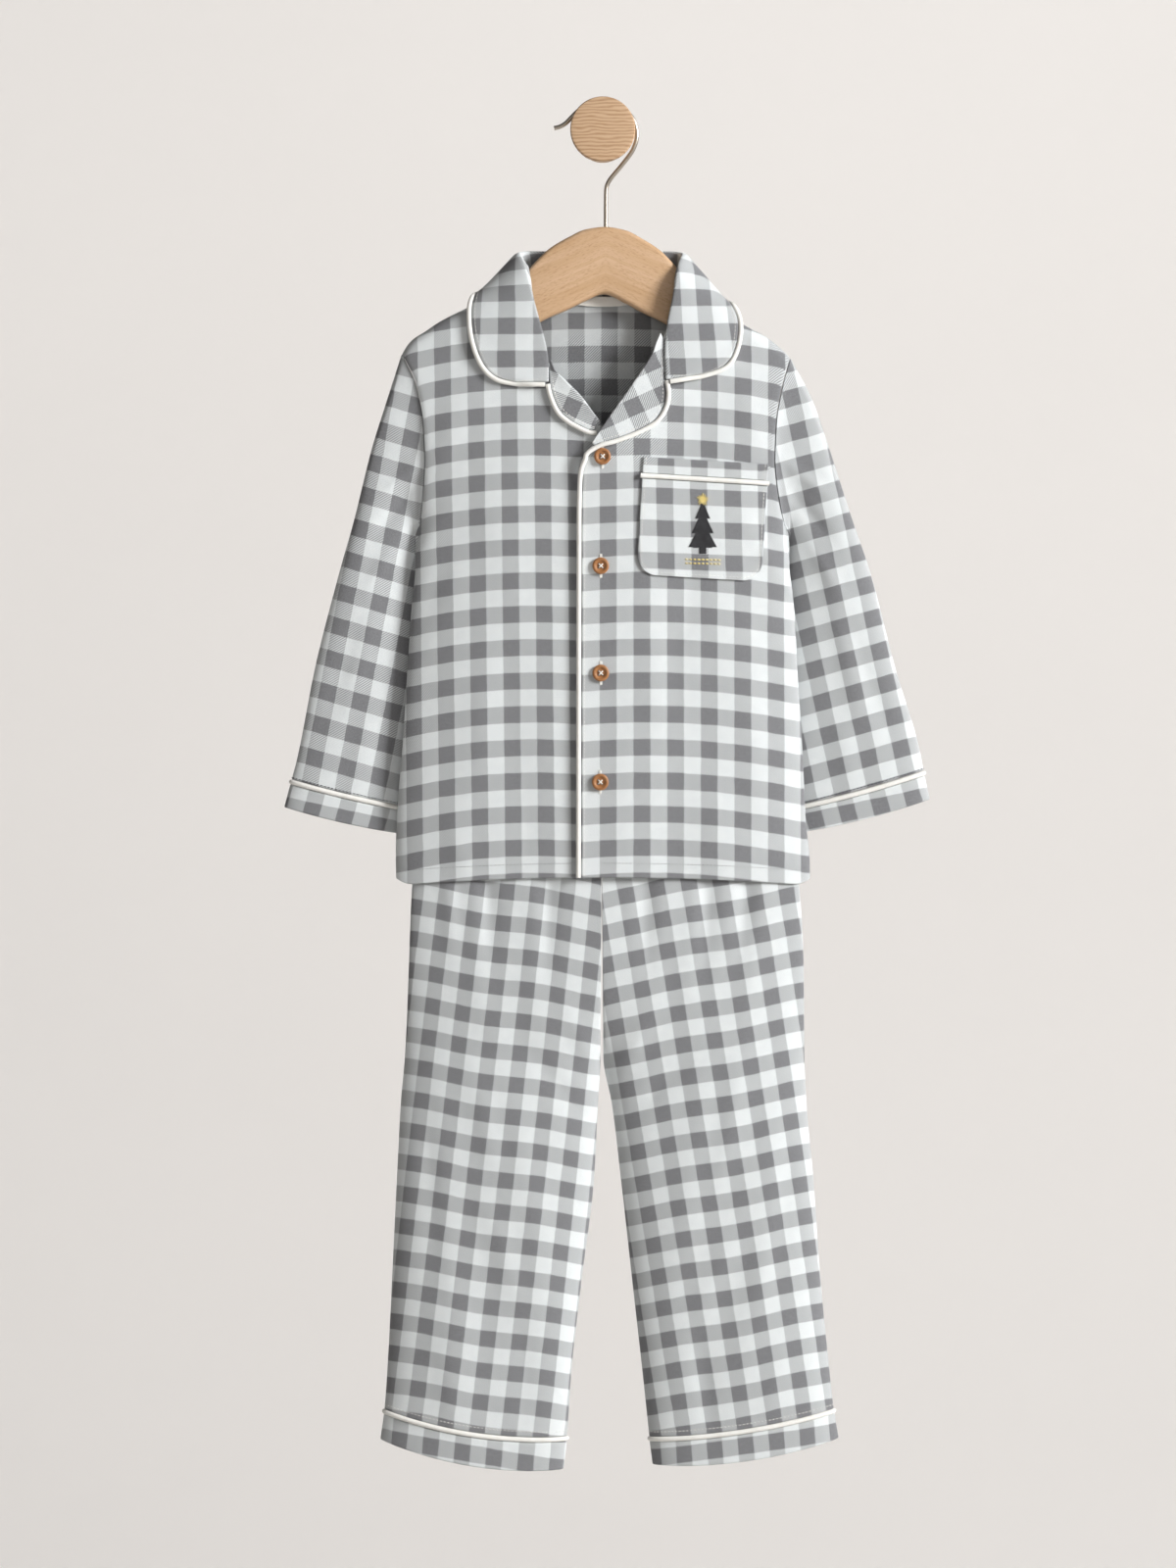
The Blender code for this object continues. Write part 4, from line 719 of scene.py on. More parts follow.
def tube_point(section, across, face, inner_closed=1.0):
    """Point of a flattened tube. across runs from 0 at its outer fold to 1 at its inner one."""
    swell = lerp(flat_round(1 - across), flat_round(2 * across - 1), inner_closed)
    depth = section["front"] if face == FRONT else section["back"]
    x = lerp(section["outer_x"], section["inner_x"], across)
    y = lerp(section["outer_y"], section["inner_y"], across) + face * depth * swell
    z = lerp(section["outer_z"], section["inner_z"], across) - section["sag"] * 4 * across * (1 - across)
    return Vector((x, y, z))


def section_at(columns, down):
    return {name: curve(down) for name, curve in columns.items()}


def around(turn):
    """Place round a tube: how far across it and its face. A turn starts at the outer fold, in front."""
    turn = turn % 1.0
    return (1 - math.cos(turn * 2 * math.pi)) / 2, FRONT if turn < 0.5 else BACK


def armhole_point(side, turn):
    """Armhole seam from the shoulder tip down the front and up the back."""
    across, face = around(turn)
    tip_z = shoulder_z(side * SHOULDER_TIP[side])
    z = lerp(tip_z, UNDERARM_Z, across)
    x = body_edge_x(side, z)
    y = body_y(face, side, x, z)
    outward = Vector((side, 0, 0.35 - across * 0.9)).normalized()
    return Vector((x, y, z)) + outward * lerp(ARMHOLE_GAP, UNDERARM_GAP, ease((across - 0.55) / 0.35))


def sleeve_point(side, turn, down):
    """Sleeve, which eases from the armhole seam into a flattened tube."""
    across, face = around(turn)
    columns = SLEEVE_CURVES[side]
    point = tube_point(section_at(columns, down), across, face)
    if down < ARMHOLE_FADE:
        start = tube_point(section_at(columns, 0), across, face)
        fade = 1 - ease(down / ARMHOLE_FADE)
        point += (armhole_point(side, turn) - start) * fade
    calm = flat_round(2 * across - 1) * ease(down / SLEEVE_CALM)
    folds = fold_height(SLEEVE_CREASES[face], point.x, point.z) + uneven(point.x, point.z, face)
    point.y += face * (folds * calm - SLEEVE_SET * (1 - ease(down / SLEEVE_SET_LENGTH)))
    return point


def hip_closing(down):
    """0 where the legs share one hip tube, 1 from the crotch down."""
    t = (down - HIP_FADE_START) / (CROTCH_DOWN - HIP_FADE_START)
    t = min(max(t, 0.0), 1.0)
    return 1 - math.sqrt(1 - t * t)


def leg_point(side, across, face, down, gap=SEAM_GAP / 2):
    """Trouser leg and its half of the hips, with their folds."""
    point = tube_point(section_at(LEG_CURVES[side], down), across, face, hip_closing(down))
    calm = flat_round(2 * across - 1)
    folds = fold_height(TROUSER_FOLDS, -face * point.x, point.z) * FOLD_SHARE[face]
    folds += fold_height(TROUSER_CREASES[face], point.x, point.z) + uneven(point.x, point.z, face)
    point.y += face * (gap + folds * calm)
    return point


def hem_point(side, turn, down, gap=0):
    """Trouser leg as one tube."""
    across, face = around(turn)
    return leg_point(side, across, face, down, gap)


def ring_off(surface, down, count, off):
    """Ring round a sleeve or a leg, moved out from its cloth."""
    middle = (surface(0, down) + surface(0.5, down)) / 2
    ring = []
    for i in range(count):
        turn = i / count
        point = surface(turn, down)
        along = surface(turn + TURN_STEP, down) - surface(turn - TURN_STEP, down)
        normal = along.cross(surface(turn, down + DOWN_STEP) - point).normalized()
        ring.append(point + normal * math.copysign(off, normal.dot(point - middle)))
    return ring


def clear_of_body(point, clearance):
    """A point of an outer layer, kept off the body's cloth."""
    if point.z < shoulder_z(point.x):
        face = FRONT if point.y < MID_Y else BACK
        cloth = body_y(face, side_of(point.x), point.x, point.z)
        if (point.y - cloth) * face < clearance:
            point.y = cloth + face * clearance
    return point


def collar_section(station):
    """Collar at one station, from the foot of the stand over the roll to the outer edge."""
    ends = [[getattr(station, end + axis) for axis in ("_x", "_y", "_z")] for end in ("foot", "roll", "edge")]
    foot, roll, edge = (Vector(end) for end in ends)
    lies_on_front = station.roll_y < COLLAR_SIDE_Y
    if lies_on_front:
        under = Vector((0, 1, 0))
        cloth = body_y(FRONT, side_of(roll.x), roll.x, roll.z)
        roll.y = cloth - (COLLAR_UNDER + COLLAR_OVER_ROLL) / 2
    else:
        under = (Vector((0, NECK_CENTRE_Y, 0)) - Vector((roll.x, roll.y, 0))).normalized()
    down = (edge - roll).normalized()
    turn_in = roll + (down + under) * station.radius
    turn_out = roll + (down - under) * station.radius
    points = [foot, (foot + turn_in) / 2, turn_in, roll]
    if lies_on_front:
        for point in points[:3]:
            point.y = body_y(FRONT, side_of(point.x), point.x, point.z) - COLLAR_UNDER
    near, far = COLLAR_SETTLE
    for i in range(FALL_COLUMNS + 1):
        t = i / FALL_COLUMNS
        place = turn_out.lerp(edge, t) - under * (FALL_BULGE * math.sin(math.pi * t))
        settle = ease(((place - roll).length - near) / (far - near))
        points.append(clear_of_body(place, lerp(COLLAR_OVER_ROLL, COLLAR_OVER_EDGE, settle)))
    return points


def collar_sections():
    """Every station from the right front corner round the neck to the left one."""
    return [collar_section(station) for station in (*COLLAR[RIGHT], COLLAR_BACK, *reversed(COLLAR[LEFT]))]


def lapel_grid(side):
    """Lapel facing turned out on its front, each row from the fold to the outer edge."""
    rows = []
    last = len(LAPEL[side]) - 1
    for number, station in enumerate(LAPEL[side]):
        row = []
        for i in range(4):
            t = i / 3
            x = lerp(station.fold_x, station.edge_x, t)
            z = lerp(station.fold_z, station.edge_z, t)
            lift = CLOTH + LAYER_GAP + LAPEL_FOLD_LIFT * (1 - t) ** 2 * (1 - (number / last) ** 3)
            row.append(Vector((x, body_y(FRONT, side, x, z) - lift, z)))
        rows.append(row)
    return rows


def piping_y(side, x, z, beyond=0.0):
    """y of a piping that lies on a front, or beyond its edge beside the cloth."""
    reach = PIPING_RADIUS + PIPING_GAP
    off = CLOTH / 2 + math.sqrt(max(reach ** 2 - beyond ** 2, 0))
    return body_y(FRONT, side, x, z) - max(off, EDGE_PIPING_PROUD)


def front_edge_path():
    """Path beside the left front's edge, from the lapel to the hem."""
    path = []
    for z in FRONT_PIPING_ROWS + [JACKET_HEM_Z + HEM_ARCH]:
        beyond = PIPING_OFF * ease((FRONT_PIPING_ROWS[0] - z) / FRONT_PIPING_SETTLE)
        edge = FRONT_X[LEFT](z)
        path.append(Vector((edge - beyond, piping_y(LEFT, edge, z, beyond), z)))
    return path


def pocket_place(u, v):
    """Jacket x and z of a place u across from the pocket's middle and v up from its piping."""
    x = POCKET_CENTRE[0] + u * math.cos(POCKET_TILT) - v * math.sin(POCKET_TILT)
    z = POCKET_CENTRE[1] + u * math.sin(POCKET_TILT) + v * math.cos(POCKET_TILT)
    return x, z


def on_left_front(x, z, off):
    """Place on the left front, moved straight out of it."""
    step = 1.0
    here = Vector((x, body_y(FRONT, LEFT, x, z), z))
    across = Vector((step, body_y(FRONT, LEFT, x + step, z) - here.y, 0))
    up = Vector((0, body_y(FRONT, LEFT, x, z + step) - here.y, step))
    return here + across.cross(up).normalized() * off


def hanger_point(out, drop):
    """Place on the tilted hanger: out from its middle and drop from its top."""
    x = HANGER_TOP_X + out * math.cos(HANGER_TILT) - drop * math.sin(HANGER_TILT)
    z = HANGER_TOP_Z - drop * math.cos(HANGER_TILT) - out * math.sin(HANGER_TILT)
    return x, z


def catmull_rom(before, start, end, after, t):
    return 0.5 * (
        2 * start
        + (end - before) * t
        + (2 * before - 5 * start + 4 * end - after) * t * t
        + (3 * start - before - 3 * end + after) * t ** 3
    )


# ---- Cloth meshes ----


def smooth_path(points, each=4):
    """Smooth path through a coarse one."""
    last = len(points) - 1
    made = []
    for i in range(last):
        before, after = points[max(i - 1, 0)], points[min(i + 2, last)]
        made += [catmull_rom(before, points[i], points[i + 1], after, t / each) for t in range(each)]
    return made + [points[-1]]


def finer(points, rows_each, columns_each):
    """Smooth grid through a coarse one."""
    wide = [smooth_path(row, columns_each) for row in points]
    columns = [smooth_path([row[j] for row in wide], rows_each) for j in range(len(wide[0]))]
    return [list(row) for row in zip(*columns)]


def spaced(length, step=CLOTH_STEP, first=0.0, last=0.0):
    """Places along a length as shares of it, closer at an end that rolls over."""

    def run(gap):
        gaps = []
        while 0 < gap < step:
            gaps.append(gap)
            gap *= STEP_GROWTH
        return gaps

    head, tail = run(first), run(last)
    middle = max(length - sum(head) - sum(tail), step)
    count = max(round(middle / step), 1)
    gaps = head + [middle / count] * count + tail[::-1]
    total = sum(gaps)
    places = [0.0]
    for gap in gaps:
        places.append(places[-1] + gap / total)
    places[-1] = 1.0
    return places


def closer_at(places, spots, gaps):
    """Places with more of them on both sides of a few spots."""
    kept = [place for place in places if all(abs(place - spot) > gaps[-1] for spot in spots)]
    for spot in spots:
        kept += [spot + gap for gap in gaps] + [spot - gap for gap in gaps]
    return sorted(place for place in set(kept) if places[0] <= place <= places[-1])


def gain(a, b):
    """How much longer a step on the cloth is than it looks from the front."""
    step = b - a
    return step.length - math.hypot(step.x, step.z)


def gained_from(line, middle):
    """Places of a line both ways from its middle, with what the cloth gains in depth up to there."""
    for way in (1, -1):
        total, j = 0.0, middle
        while 0 <= j + way < len(line):
            total += gain(line[j], line[j + way])
            j += way
            yield j, way * total


def laid_out(points, grain, middle):
    """Pattern of a grid: its grain as seen from the front, plus what rolls away in depth."""
    pattern = [[Vector(grain(point)) for point in row] for row in points]
    gains = [[Vector((0.0, 0.0)) for _ in row] for row in points]
    middle_row = round(middle[0] * (len(points) - 1))
    middle_column = round(middle[1] * (len(points[0]) - 1))
    for i, row in enumerate(points):
        along = math.copysign(1, pattern[i][-1].x - pattern[i][0].x)
        for j, gained in gained_from(row, middle_column):
            gains[i][j].x = along * gained
    for j in range(len(points[0])):
        along = math.copysign(1, pattern[-1][j].y - pattern[0][j].y)
        for i, gained in gained_from([row[j] for row in points], middle_row):
            gains[i][j].y = along * gained
    return [[p + g for p, g in zip(*rows)] for rows in zip(pattern, gains)]


def grain_of(name):
    """Pattern of a flat piece by its place as seen from the front."""
    row = GRAIN[name]

    def grain(point):
        x, z = point.x - row.x, point.z - row.z
        drop = row.drop * ((point.x - row.crown) ** 2 - (row.x - row.crown) ** 2)
        ripple = row.ripple * math.sin((point.x - row.crown) / RIPPLE_SPAN * 2 * math.pi)
        return x * row.ux + z * row.uz + row.fan * x * z * MM, x * row.vx + z * row.vz + drop + ripple

    return grain


def outward(vertices, faces, corners):
    """Faces and their pattern corners, reversed if the closed shape faced inwards."""
    volume = 0.0
    for face in faces:
        first = vertices[face[0]]
        for b, c in zip(face[1:], face[2:]):
            volume += first.dot(vertices[b].cross(vertices[c]))
    if volume < 0:
        faces = [tuple(reversed(face)) for face in faces]
        corners = [tuple(reversed(corner)) for corner in corners]
    return faces, corners


def placed(name, data):
    """Object in the scene of a mesh, a light or a camera."""
    obj = bpy.data.objects.new(name, data)
    bpy.context.scene.collection.objects.link(obj)
    return obj


def applied(obj):
    """Makes the result of an object's modifiers its own mesh."""
    graph = bpy.context.evaluated_depsgraph_get()
    made = bpy.data.meshes.new_from_object(obj.evaluated_get(graph))
    obj.modifiers.clear()
    obj.data = made
    return made


def mesh_object(name, vertices, faces, material, corners=None):
    """Object from vertices in millimetres, with its pattern as a UV map in metres."""
    mesh = bpy.data.meshes.new(name)
    mesh.from_pydata([vertex * MM for vertex in vertices], [], faces)
    if corners:
        layer = mesh.uv_layers.new(name="UVMap")
        layer.data.foreach_set("uv", [value * MM for corner in corners for uv in corner for value in uv])
    mesh.materials.append(material)
    mesh.shade_smooth()
    return placed(name, mesh)


def shell(name, points, normals, pattern, material, thickness=CLOTH, closed=False):
    """Thin closed shell of cloth about a grid of middle points, with rounded rims.

    closed joins the last column to the first; its pattern then has one column more, so that it need not meet.
    """
    rows, columns = len(points), len(points[0])
    half = thickness / 2

    def inside(row, column):
        near = []
        if row in (0, rows - 1):
            near.append(points[1 if row == 0 else rows - 2][column])
        if not closed and column in (0, columns - 1):
            near.append(points[row][1 if column == 0 else column - 1])
        return near

    vertices, rims = [], {}
    for sign in (1, -1):
        for i in range(rows):
            for j in range(columns):
                point, share = points[i][j], 1.0
                for near in inside(i, j):
                    away = near - points[i][j]
                    share = RIM_SHARE
                    if away.length > WELD:
                        point = point + away.normalized() * min(half * RIM_ROUND, away.length / 2)
                vertices.append(point + normals[i][j] * (half * sign * share))
    if closed:
        loops = [[(0, j) for j in range(columns + 1)], [(rows - 1, j) for j in range(columns, -1, -1)]]
    else:
        top = [(0, j) for j in range(columns)]
        right = [(i, columns - 1) for i in range(1, rows)]
        bottom = [(rows - 1, j) for j in range(columns - 2, -1, -1)]
        loops = [top + right + bottom + [(i, 0) for i in range(rows - 2, -1, -1)]]
    for i, j in [place for loop in loops for place in loop]:
        if (i, j % columns) not in rims:
            rims[(i, j % columns)] = len(vertices)
            vertices.append(points[i][j % columns])
    faces, corners = [], []

    def face(*places):
        made = []
        for layer, (i, j) in places:
            rim = layer == "rim"
            made.append(rims[(i, j % columns)] if rim else (layer * rows + i) * columns + j % columns)
        faces.append(tuple(made))
        corners.append(tuple(pattern[i][j] for _, (i, j) in places))

    for i in range(rows - 1):
        for j in range(columns if closed else columns - 1):
            quad = ((i, j), (i + 1, j), (i + 1, j + 1), (i, j + 1))
            face(*((0, place) for place in quad))
            face(*((1, place) for place in reversed(quad)))
    for loop in loops:
        for a, b in zip(loop, loop[1:]):
            face((0, a), (0, b), ("rim", b), ("rim", a))
            face(("rim", a), ("rim", b), (1, b), (1, a))
    faces, corners = outward(vertices, faces, corners)
    return mesh_object(name, vertices, faces, material, corners)


def grid_of(surface, us, vs):
    return [[surface(u, v) for u in us] for v in vs]


def lies_flat(points, normals, share):
    """Turns the normals of rims on the mid plane into it, so that two pieces meet there."""
    for i, row in enumerate(points):
        for j, point in enumerate(row):
            flat = share(i, j, point)
            if flat:
                normals[i][j].y *= 1 - flat
                normals[i][j].normalize()


def cut_facts(points, closed=False):
    """Width, length and area in metres of the cloth of a grid laid flat.

    A narrow tape is cut LEAST_CUT wide, part of it tucked into its seam.
    """
    if closed:
        points = [row + [row[0]] for row in points]
    widths = [length_of(row) for row in points]
    lengths = [length_of(column) for column in zip(*points)]
    area = 0.0
    for row, below in zip(points, points[1:]):
        for j in range(len(row) - 1):
            area += (below[j + 1] - row[j]).cross(row[j + 1] - below[j]).length / 2
    width, length = (max(round(max(sizes)), LEAST_CUT) * MM for sizes in (widths, lengths))
    return (width, length), min(area * MM * MM, width * length)


def finished(obj, slot=None, node=None):
    """Puts a piece on the frame, in place of its CAD node if it has one."""
    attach(obj, "root")
    if node:
        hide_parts(node)
    return obj


def cloth_piece(
    name, points, rests_on, middle=(0.5, 0.5), grain=None, flat_rim=None, normals=None, pattern=None,
    closed=False, maker=None, thickness=CLOTH, slot="flannel",
):
    """Shell of one cut piece of flannel or tape, put in place of its CAD node.

    Its pattern is laid out from the middle by the grain of its name unless another is given.
    """
    normals = normals or grid_normals(points, closed)
    if flat_rim:
        lies_flat(points, normals, flat_rim)
    pattern = pattern or laid_out(points, grain_of(grain or name), middle)
    material = finish_of(maker or check_flannel)
    obj = finished(shell(name + "_cloth", points, normals, pattern, material, thickness, closed), slot, name)
    flat, area = cut_facts(points, closed)
    if area < LEAST_SHARE * flat[0] * flat[1]:
        area = None


# ---- Geometry Nodes for what follows a path ----


def join(node, sockets):
    """Sets or links a node's inputs."""
    for key, value in sockets.items():
        if isinstance(value, bpy.types.Node):
            value = value.outputs[0]
        if isinstance(value, bpy.types.NodeSocket):
            node.id_data.links.new(value, node.inputs[key])
        else:
            node.inputs[key].default_value = value


def add(tree, kind, sockets=None, family="", **settings):
    """Node with its settings and its inputs set or linked."""
    made = tree.nodes.new(family + kind)
    for name, value in settings.items():
        setattr(made, name, value)
    join(made, sockets or {})
    return made


def node_group(name, **inputs):
    """Geometry node tree, what adds a node to it, its inputs with a material, and its path."""
    tree = bpy.data.node_groups.new(name, "GeometryNodeTree")
    tree.interface.new_socket("Geometry", in_out="INPUT", socket_type="NodeSocketGeometry")
    for label, kind in {**inputs, "Finish": "Material"}.items():
        tree.interface.new_socket(label, in_out="INPUT", socket_type="NodeSocket" + kind)
    tree.interface.new_socket("Geometry", in_out="OUTPUT", socket_type="NodeSocketGeometry")
    n = partial(add, tree)
    given = n("NodeGroupInput")
    return tree, n, given.outputs, n("GeometryNodeMeshToCurve", {"Mesh": given})


def round_cord_tree():
    """Round cord or wire along a path."""
    tree, n, given, path = node_group("Round cord", Radius="Float", Sides="Int")
    ring = n("GeometryNodeCurvePrimitiveCircle", {"Resolution": given["Sides"], "Radius": given["Radius"]})
    body = n("GeometryNodeCurveToMesh", {"Curve": path, "Profile Curve": ring, "Fill Caps": True})
    smooth = n("GeometryNodeSetShadeSmooth", {"Geometry": body})
    real = n("GeometryNodeRealizeInstances", {"Geometry": smooth})
    done = n("GeometryNodeSetMaterial", {"Geometry": real, "Material": given["Finish"]})
    n("NodeGroupOutput", {"Geometry": done})
    return tree


def stitch_tree():
    """Uneven running stitches along a path."""
    tree, n, given, path = node_group("Stitches", Pitch="Float", Length="Float", Thickness="Float")
    spots = n("GeometryNodeCurveToPoints", {"Curve": path, "Length": given["Pitch"]}, mode="LENGTH")
    turned = n("FunctionNodeAlignRotationToVector", {"Vector": spots.outputs["Tangent"]}, axis="Z")
    spread = {0: (0.85, 0.85, 0.88), 1: (1.12, 1.12, 1.1), "Seed": 7}
    uneven_size = n("FunctionNodeRandomValue", spread, data_type="FLOAT_VECTOR")
    thread = n("GeometryNodeMeshUVSphere", {"Segments": 6, "Rings": 5, "Radius": 0.5})
    size = n("ShaderNodeCombineXYZ", {"X": given["Thickness"], "Y": given["Thickness"], "Z": given["Length"]})
    thread = n("GeometryNodeTransform", {"Geometry": thread, "Scale": size})
    thread = n("GeometryNodeSetShadeSmooth", {"Geometry": thread})
    laid = {"Points": spots, "Instance": thread, "Rotation": turned, "Scale": uneven_size}
    real = n("GeometryNodeRealizeInstances", {"Geometry": n("GeometryNodeInstanceOnPoints", laid)})
    done = n("GeometryNodeSetMaterial", {"Geometry": real, "Material": given["Finish"]})
    n("NodeGroupOutput", {"Geometry": done})
    return tree


def grown(name, tree_maker, paths, maker, closed=False, slot=None, node=None, **sizes):
    """Piece that a node tree grows along paths, by sizes in millimetres and counts."""
    tree = bpy.data.node_groups.get(tree_maker.__name__) or tree_maker()
    tree.name = tree_maker.__name__
    vertices, edges = [], []
    for path in paths:
        start = len(vertices)
        vertices += [point * MM for point in path]
        edges += [(i, i + 1) for i in range(start, len(vertices) - 1)]
        if closed:
            edges.append((len(vertices) - 1, start))
    lines = bpy.data.meshes.new(name)
    lines.from_pydata(vertices, edges, [])
    obj = placed(name, lines)
    modifier = obj.modifiers.new(name, "NODES")
    modifier.node_group = tree
    sizes["Finish"] = finish_of(maker)
    for socket in tree.interface.items_tree:
        if socket.in_out == "INPUT" and socket.name in sizes:
            value = sizes[socket.name]
            modifier[socket.identifier] = value * MM if isinstance(value, float) else value
    applied(obj).name = name
    bpy.data.meshes.remove(lines)
    return finished(obj, slot, node)


# ---- Materials ----


def linear(colour):
    """Linear colour from an sRGB hex value."""
    values = [int(colour[i : i + 2], 16) / 255 for i in (1, 3, 5)]
    return [v / 12.92 if v <= 0.04045 else ((v + 0.055) / 1.055) ** 2.4 for v in values] + [1.0]


def blank(name):
    """New material, its shader, and what adds a node to it."""
    material = bpy.data.materials.new(name)
    material.use_nodes = True
    material.node_tree.nodes.clear()
    n = partial(add, material.node_tree, family="ShaderNode")
    shader = n("BsdfPrincipled")
    n("OutputMaterial", {"Surface": shader})
    return material, shader, n


def in_millimetres(n):
    """Place on a piece in its own millimetres."""
    place = n("TexCoord")
    return n("VectorMath", {0: place.outputs["Object"], 1: (1 / MM,) * 3}, operation="MULTIPLY")


def streaks(n, place, scale, detail, turn=(0, 0, 0), distortion=0.0):
    """Noise drawn out along the grain of wood."""
    drawn = n("Mapping", {"Vector": place, "Rotation": turn, "Scale": scale})
    return n("TexNoise", {"Vector": drawn, "Scale": 1.0, "Detail": detail, "Distortion": distortion})


def check_flannel(name="brushed check flannel", tone=1.0):
    """Yarn-dyed cotton flannel in half-inch checks, 2/2 twill, brushed on both faces.

    Brushing gives a matt, faintly hairy surface; the twill shows as diagonal hatching where the yarns cross.
    A real twill line is 1.4 mm; it is drawn at 2.1 mm so that it still shows.
    """
    cloth = bpy.context.scene.pyjama_cloth
    material, shader, n = blank(name)
    square, twill = cloth.square / MM, cloth.twill / MM
    uv = n("UVMap", uv_map="UVMap")
    place = n("VectorMath", {0: uv, 1: (1 / MM,) * 3}, operation="MULTIPLY")
    straight = n("SeparateXYZ", {0: place})
    wander = n("TexNoise", {"Vector": place, "Scale": 0.11, "Detail": 3.0})
    wander = n("VectorMath", {0: wander.outputs["Color"], 1: (0.5,) * 3}, operation="SUBTRACT")
    place = n("VectorMath", {0: wander, 1: (1.3,) * 3, 2: place}, operation="MULTIPLY_ADD")
    axes = n("SeparateXYZ", {0: place})
    dark = []
    for axis in ("X", "Y"):
        wave = n("Math", {0: axes.outputs[axis], 1: square}, operation="PINGPONG")
        band = {0: wave, 1: square / 2 - 0.3, 2: square / 2 + 0.3}
        dark.append(n("MapRange", band, interpolation_type="SMOOTHSTEP"))
    diagonal = n("Math", {0: straight.outputs["Y"], 1: straight.outputs["X"]}, operation="SUBTRACT")
    line = n("Math", {0: diagonal, 1: twill / 2}, operation="PINGPONG")
    over = n("MapRange", {0: line, 1: twill * 0.06, 2: twill * 0.4, 3: 0.1, 4: 0.9})
    yarn = n("Mix", {0: over, 2: dark[0], 3: dark[1]})
    nap = n("TexNoise", {"Vector": place, "Scale": 0.8, "Detail": 4.0, "Roughness": 0.75})
    heather = n("TexNoise", {"Vector": place, "Scale": 0.16, "Detail": 4.0})
    pale = n("Mix", {0: heather, 6: cloth.pale, 7: cloth.pale_shade}, data_type="RGBA")
    grey = n("Mix", {0: nap, 6: cloth.grey, 7: cloth.grey_light}, data_type="RGBA")
    colour = n("Mix", {0: yarn, 6: pale.outputs[2], 7: grey.outputs[2]}, data_type="RGBA")
    # Nap noise varies the tone at random; a tone below 1 darkens it all as painted shade.
    nap_and_painted_light = n("MapRange", {0: nap, 1: 0.25, 2: 0.75, 3: 0.86 * tone, 4: 1.1 * tone})
    # The twill lines are made a few percent lighter than the hollows between them: painted light on the twill
    # ridges.
    nap_and_painted_light = n("Math", {0: over, 1: 0.07, 2: nap_and_painted_light}, operation="MULTIPLY_ADD")
    colour = n("VectorMath", {0: colour.outputs[2], 3: nap_and_painted_light}, operation="SCALE")
    rough = n("MapRange", {0: nap, 3: 0.82, 4: 0.97})
    ridge = n("Math", {0: line, 1: 0.22, 2: nap}, operation="MULTIPLY_ADD")
    bump = n("Bump", {"Height": ridge, "Strength": 0.35, "Distance": 0.0004})
    join(shader, {"Base Color": colour, "Roughness": rough, "Normal": bump, "Sheen Weight": 0.18})
    join(shader, {"Sheen Roughness": 0.5, "Specular IOR Level": 0.25})
    return material


def flannel_reverse():
    """Darker copy of the same flannel: painted shade on the inner faces of the back, inside the neck."""
    return check_flannel("plain side of check flannel", 0.78)


def woven_trim(name, colour, shade, line=0.9, metallic=0.0):
    """Plain cotton trim: a fine matt weave with slight shading from handling."""
    trim = bpy.context.scene.pyjama_trim
    material, shader, n = blank(name)
    place = in_millimetres(n)
    turned = n("Mapping", {"Vector": place, "Rotation": (0.3, 0.2, math.radians(45))})
    weave = n("TexWave", {"Vector": turned, "Scale": 0.31 / line, "Distortion": 1.2, "Detail": 1.0})
    weave = weave.outputs["Fac"]
    soft = n("TexNoise", {"Vector": place, "Scale": 0.18, "Detail": 3.0})
    share = n("Math", {0: weave, 1: 0.15, 2: soft}, operation="MULTIPLY_ADD")
    share = n("MapRange", {0: share, 1: 0.35, 2: 0.9})
    tone = n("Mix", {0: share, 6: getattr(trim, colour), 7: getattr(trim, shade)}, data_type="RGBA")
    rough = n("MapRange", {0: soft, 3: 0.7, 4: 0.9})
    bump = n("Bump", {"Height": weave, "Strength": 0.1, "Distance": 0.0002})
    join(shader, {"Base Color": tone.outputs[2], "Roughness": rough, "Normal": bump, "Metallic": metallic})
    join(shader, {"Sheen Weight": 0.1, "Specular IOR Level": 0.3})
    return material


def beech():
    """Steamed and lacquered beech: grain that runs along each arm, short dark ray flecks."""
    wood = bpy.context.scene.pyjama_wood
    material, shader, n = blank("lacquered beech")
    place = {0: in_millimetres(n), 1: (-HANGER_TOP_X, -MID_Y, -HANGER_TOP_Z)}
    place = n("VectorMath", place, operation="ADD")
    axes = n("SeparateXYZ", {0: place})
    out = n("Math", {0: axes.outputs["X"]}, operation="ABSOLUTE")
    mitred = n("CombineXYZ", {0: out, 1: axes.outputs["Y"], 2: axes.outputs["Z"]})
    turned = n("Mapping", {"Vector": mitred, "Rotation": (0, math.radians(-24), 0)})
    growth = streaks(n, turned, (0.006, 0.09, 0.16), 5.0, distortion=0.6)
    fine = streaks(n, turned, (0.05, 0.9, 1.5), 4.0)
    fleck = streaks(n, turned, (0.3, 1.6, 2.4), 2.0)
    fleck = n("MapRange", {0: fleck, 1: 0.56, 2: 0.68, 3: 0.0, 4: 0.6})
    share = n("Math", {0: fine, 1: 0.45, 2: growth}, operation="MULTIPLY_ADD")
    share = n("MapRange", {0: share, 1: 0.45, 2: 1.0})
    tone = n("Mix", {0: share, 6: wood.beech, 7: wood.beech_grain}, data_type="RGBA")
    tone = n("Mix", {0: fleck, 6: tone.outputs[2], 7: wood.beech_fleck}, data_type="RGBA")
    rough = n("MapRange", {0: fine, 3: 0.38, 4: 0.55})
    bump = n("Bump", {"Height": fine, "Strength": 0.12, "Distance": 0.0002})
    join(shader, {"Base Color": tone.outputs[2], "Roughness": rough, "Normal": bump})
    return material


